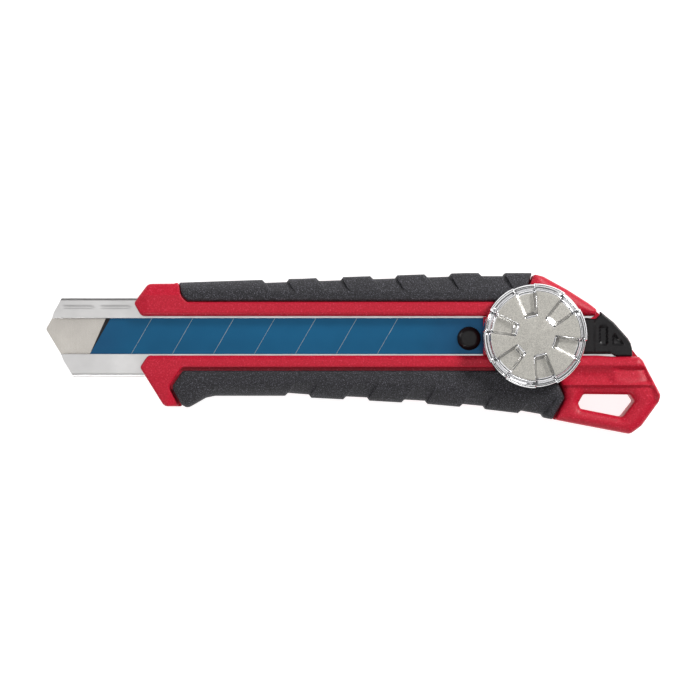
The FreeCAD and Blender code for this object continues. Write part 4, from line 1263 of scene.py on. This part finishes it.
class KNIFE_OT_end_cap(bpy.types.Operator):
    """Black end cap with a thumb slot and a three-sided recess"""
    bl_idname = "knife.end_cap"
    bl_label = "End cap"

    def execute(self, context):
        black = black_plastic()
        outline = round_outline([
            (130.5, -4.15, 0.2), (137.4, -4.15, 0.5), (138.9, -4.95, 0.5), (142.85, -4.95, 0.4),
            (142.75, -3.0, 0.3), (142.4, -1.7, 0.6), (141.7, -0.5, 0.8), (138.2, 3.4, 1.0), (136.9, 4.4, 0.3),
            (134.9, 6.05, 0.4), (134.9, 5.2, 0.5), (133.9, 4.2, 0.5), (130.5, 4.15, 0.2),
        ])
        plate = moulding("cap_plate", outline, cap_face, 8.7, [black])
        tongue = slab("cap_tongue", np.array([
            [131.0, -9.2], [146.1, -9.2], [144.5, -6.0], [142.6, -4.7], [142.0, -1.7], [138.0, 2.8],
            [134.4, 4.1], [131.0, 4.4]]), 5.35, 8.75, [black])
        bevelled(tongue, 0.25, 2)
        heel = slab("cap_heel", np.array([
            [138.3, -4.85], [142.6, -4.85], [142.2, -1.8], [141.5, -0.6], [138.7, 2.4], [138.3, 2.2]]),
            6.35, 9.4, [black])
        piece = joined("cap_body", [plate, tongue, heel])
        settle(piece, "cap", "black_plastic", "end_cap")
        return {"FINISHED"}


def cap_face(x, y, distance):
    """The cap's top falls a little to its outer side and holds two sunk thumb marks."""
    z = CAP_TOP - rolled(distance, 0.45) - smooth((x - 134) / 9) * 0.5
    slot_mark = np.maximum(np.abs(x - 135.75) / 0.95, np.abs(y - 0.15) / 2.45)
    slot_mark = smooth((1.0 - slot_mark) / 0.25) * 0.6
    corner = round_outline([(138.0, 1.0, 0.3), (138.0, -2.1, 0.3), (141.0, -2.1, 0.3)])
    inside = (x > 138.0) & (y > -2.1) & (x + y < 138.95)
    mark = inside * smooth(edge_distance(x, y, corner) / 0.3) * 0.6
    ledge = smooth((4.4 - np.abs(y)) / 0.2) * smooth((133.8 - x) / 0.4) * 0.25
    return z - slot_mark - mark - ledge


class KNIFE_OT_screws(bpy.types.Operator):
    """Shell screws, one shape placed on five points"""
    bl_idname = "knife.screws"
    bl_label = "Shell screws"

    def execute(self, context):
        steel = hardware_steel("zinc_plated_steel", (0.58, 0.58, 0.57))
        low, high = box_mm("shell_screws")
        head = screw_shape(low[2], high[2], steel)
        mesh = bpy.data.meshes.new("screw_points")
        mesh.from_pydata([(POINT_X + x * MM, AXIS_Y + y * MM, 0) for x, y in screw_places()], [], [])
        holder = add_object("shell_screw_set", mesh)
        modifier = holder.modifiers.new("screws", "NODES")
        modifier.node_group = screw_tree(head, steel)
        set_input(modifier, "Turn", form().screw_turn)
        piece = shaded(baked(holder), 35)
        bpy.data.objects.remove(head)
        settle(piece, "handle", "zinc_steel", "shell_screws")
        return {"FINISHED"}


def screw_shape(low, high, material):
    """A pan-head screw that looks down, with a cross recess, about the frame's zero."""
    profile = [(0, low), (1.5, low), (1.8, low + 0.15), (1.9, low + 0.45), (1.9, low + 1.5), (1.1, low + 1.5),
               (1.1, high - 0.8), (0.3, high), (0, high)]
    points, faces = revolved(profile, steps=32)
    mesh = bpy.data.meshes.new("screw")
    mesh.from_pydata([[c * MM for c in point] for point in points], [], faces)
    cleaned(mesh, 1e-7, None)
    mesh.materials.append(material)
    screw = add_object("screw", mesh)
    bars = []
    for wide, tall in ((1.05, 0.25), (0.25, 1.05)):
        corners = [(-wide, -tall), (wide, -tall), (wide, tall), (-wide, tall)]
        bar = bpy.data.meshes.new("bar")
        verts = [(x * MM, y * MM, (low - 1) * MM) for x, y in corners]
        verts += [(x * MM * 0.6, y * MM * 0.6, (low + 0.9) * MM) for x, y in corners]
        sides = [(i, (i + 1) % 4, 4 + (i + 1) % 4, 4 + i) for i in range(4)]
        bar.from_pydata(verts, [], [(3, 2, 1, 0), (4, 5, 6, 7)] + sides)
        cleaned(bar, 1e-7, None)
        bars.append(add_object("bar", bar))
    return cut_with(screw, bars)


def screw_tree(head, material):
    """Place the screw on every incoming point, turned by Turn."""
    tree, inputs, output = new_tree("screws_on_points", [("Turn", "NodeSocketFloat")])
    shape = place_node(tree, "GeometryNodeObjectInfo", Object=head)
    instances = place_node(tree, "GeometryNodeInstanceOnPoints")
    index = place_node(tree, "GeometryNodeInputIndex")
    angle = place_node(tree, "ShaderNodeMath", operation="MULTIPLY")
    turn = place_node(tree, "ShaderNodeCombineXYZ")
    realize = place_node(tree, "GeometryNodeRealizeInstances")
    coat = place_node(tree, "GeometryNodeSetMaterial", Material=material)
    wires = [
        (inputs, "Geometry", instances, "Points"), (shape, "Geometry", instances, "Instance"),
        (index, 0, angle, 0), (inputs, "Turn", angle, 1), (angle, 0, turn, "Z"),
        (turn, "Vector", instances, "Rotation"), (instances, "Instances", realize, "Geometry"),
        (realize, "Geometry", coat, "Geometry"), (coat, "Geometry", output, "Geometry"),
    ]
    for wire in wires:
        link(tree, *wire)
    return tree


class KNIFE_OT_slider(bpy.types.Operator):
    """Finishes of the slider block, the carriage and the small hardware"""
    bl_idname = "knife.slider"
    bl_label = "Slider and hardware"

    def execute(self, context):
        zinc = bpy.data.materials["zinc_plated_steel"]
        spring = hardware_steel("spring_steel", (0.34, 0.33, 0.33), 0.26)
        dress("slider_block", bpy.data.materials["moulded_red"])
        dress("slider_carriage", bpy.data.materials["moulded_black"])
        for node in ("clamp_plate", "wheel_stud", "friction_washer"):
            dress(node, zinc)
        for node in ("stud_clip", "blade_spring"):
            dress(node, spring)
        return {"FINISHED"}


class KNIFE_OT_stage(bpy.types.Operator):
    """Pale floor, soft lights and the camera straight above"""
    bl_idname = "knife.stage"
    bl_label = "Stage"

    def execute(self, context):
        pale, _, shader = surface("pale_floor", (0.5, 0.5, 0.5), 0.8, specular=0.1)
        shader.inputs["Emission Color"].default_value = (1, 1, 1, 1)
        shader.inputs["Emission Strength"].default_value = 0.85
        mesh = bpy.data.meshes.new("floor")
        half, level = 1.6, -0.0003
        corners = ((-half, -half), (half, -half), (half, half), (-half, half))
        mesh.from_pydata([(x, y, level) for x, y in corners], [], [(0, 1, 2, 3)])
        mesh.materials.append(pale)
        floor = add_object("floor", mesh)
        add_lights(context)
        add_camera(context)
        return {"FINISHED"}


def add_lights(context):
    """A soft box overhead, a key from the upper right, strips for the metal and a dim room."""
    world = bpy.data.worlds.new("studio")
    context.scene.world = world
    world.use_nodes = True
    background = world.node_tree.nodes["Background"]
    background.inputs["Color"].default_value = (1, 1, 1, 1)
    background.inputs["Strength"].default_value = 0.13
    context.scene.view_settings.view_transform = "Standard"
    for name, where, width, depth, power in LIGHTS:
        light = bpy.data.lights.new(name, "AREA")
        light.shape = "RECTANGLE"
        light.size = width
        light.size_y = depth
        light.energy = power
        lamp = add_object(name, light)
        lamp.location = where
        lamp.rotation_euler = (-Vector(where)).to_track_quat("-Z", "Y").to_euler()


LIGHTS = (
    ("softbox", (0.0, 0.05, 1.05), 0.80, 0.80, 1.8),
    ("key", (0.58, 0.48, 0.50), 0.18, 0.18, 6.2),
    ("strip_left", (-0.55, 0.30, 0.35), 0.06, 0.5, 0.9),
    ("fill", (-0.20, -0.60, 0.40), 0.35, 0.12, 1.3),
)


def add_camera(context):
    """Straight above: a frame 170.7 mm wide at the height of the blade, seen from 750 mm."""
    distance, width = 0.75, 0.17073
    camera = bpy.data.cameras.new("camera")
    camera.sensor_width = 36
    camera.lens = 36 * distance / width
    camera.clip_start = 0.01
    view = add_object("camera", camera)
    view.location = (POINT_X + 74.07 * MM, AXIS_Y - 3.41 * MM, BLADE_HIGH[2] * MM + distance)
    context.scene.camera = view


class KNIFE_PT_panel(bpy.types.Panel):
    """Lists the builders of the knife"""
    bl_idname = "KNIFE_PT_panel"
    bl_label = "Snap-off knife"
    bl_space_type = "VIEW_3D"
    bl_region_type = "UI"
    bl_category = "Knife"

    def draw(self, context):
        for name in STEPS:
            self.layout.operator(f"knife.{name}")


STEPS = ("front_shell", "back_shell", "grips", "channel", "blade", "wheel", "end_cap", "screws", "slider",
         "stage")
CLASSES = (
    KnifeForm, KnifeFinish, KNIFE_OT_front_shell, KNIFE_OT_back_shell, KNIFE_OT_grips, KNIFE_OT_channel,
    KNIFE_OT_blade, KNIFE_OT_wheel, KNIFE_OT_end_cap, KNIFE_OT_screws, KNIFE_OT_slider, KNIFE_OT_stage,
    KNIFE_PT_panel,
)


def register():
    for item in CLASSES:
        bpy.utils.register_class(item)
    bpy.types.Scene.knife_form = bpy.props.PointerProperty(type=KnifeForm)
    bpy.types.Scene.knife_finish = bpy.props.PointerProperty(type=KnifeFinish)


def unregister():
    del bpy.types.Scene.knife_form
    del bpy.types.Scene.knife_finish
    for item in reversed(CLASSES):
        bpy.utils.unregister_class(item)


def main():
    register()
    for name in STEPS:
        getattr(bpy.ops.knife, name)()


if __name__ == "__main__":
    main()
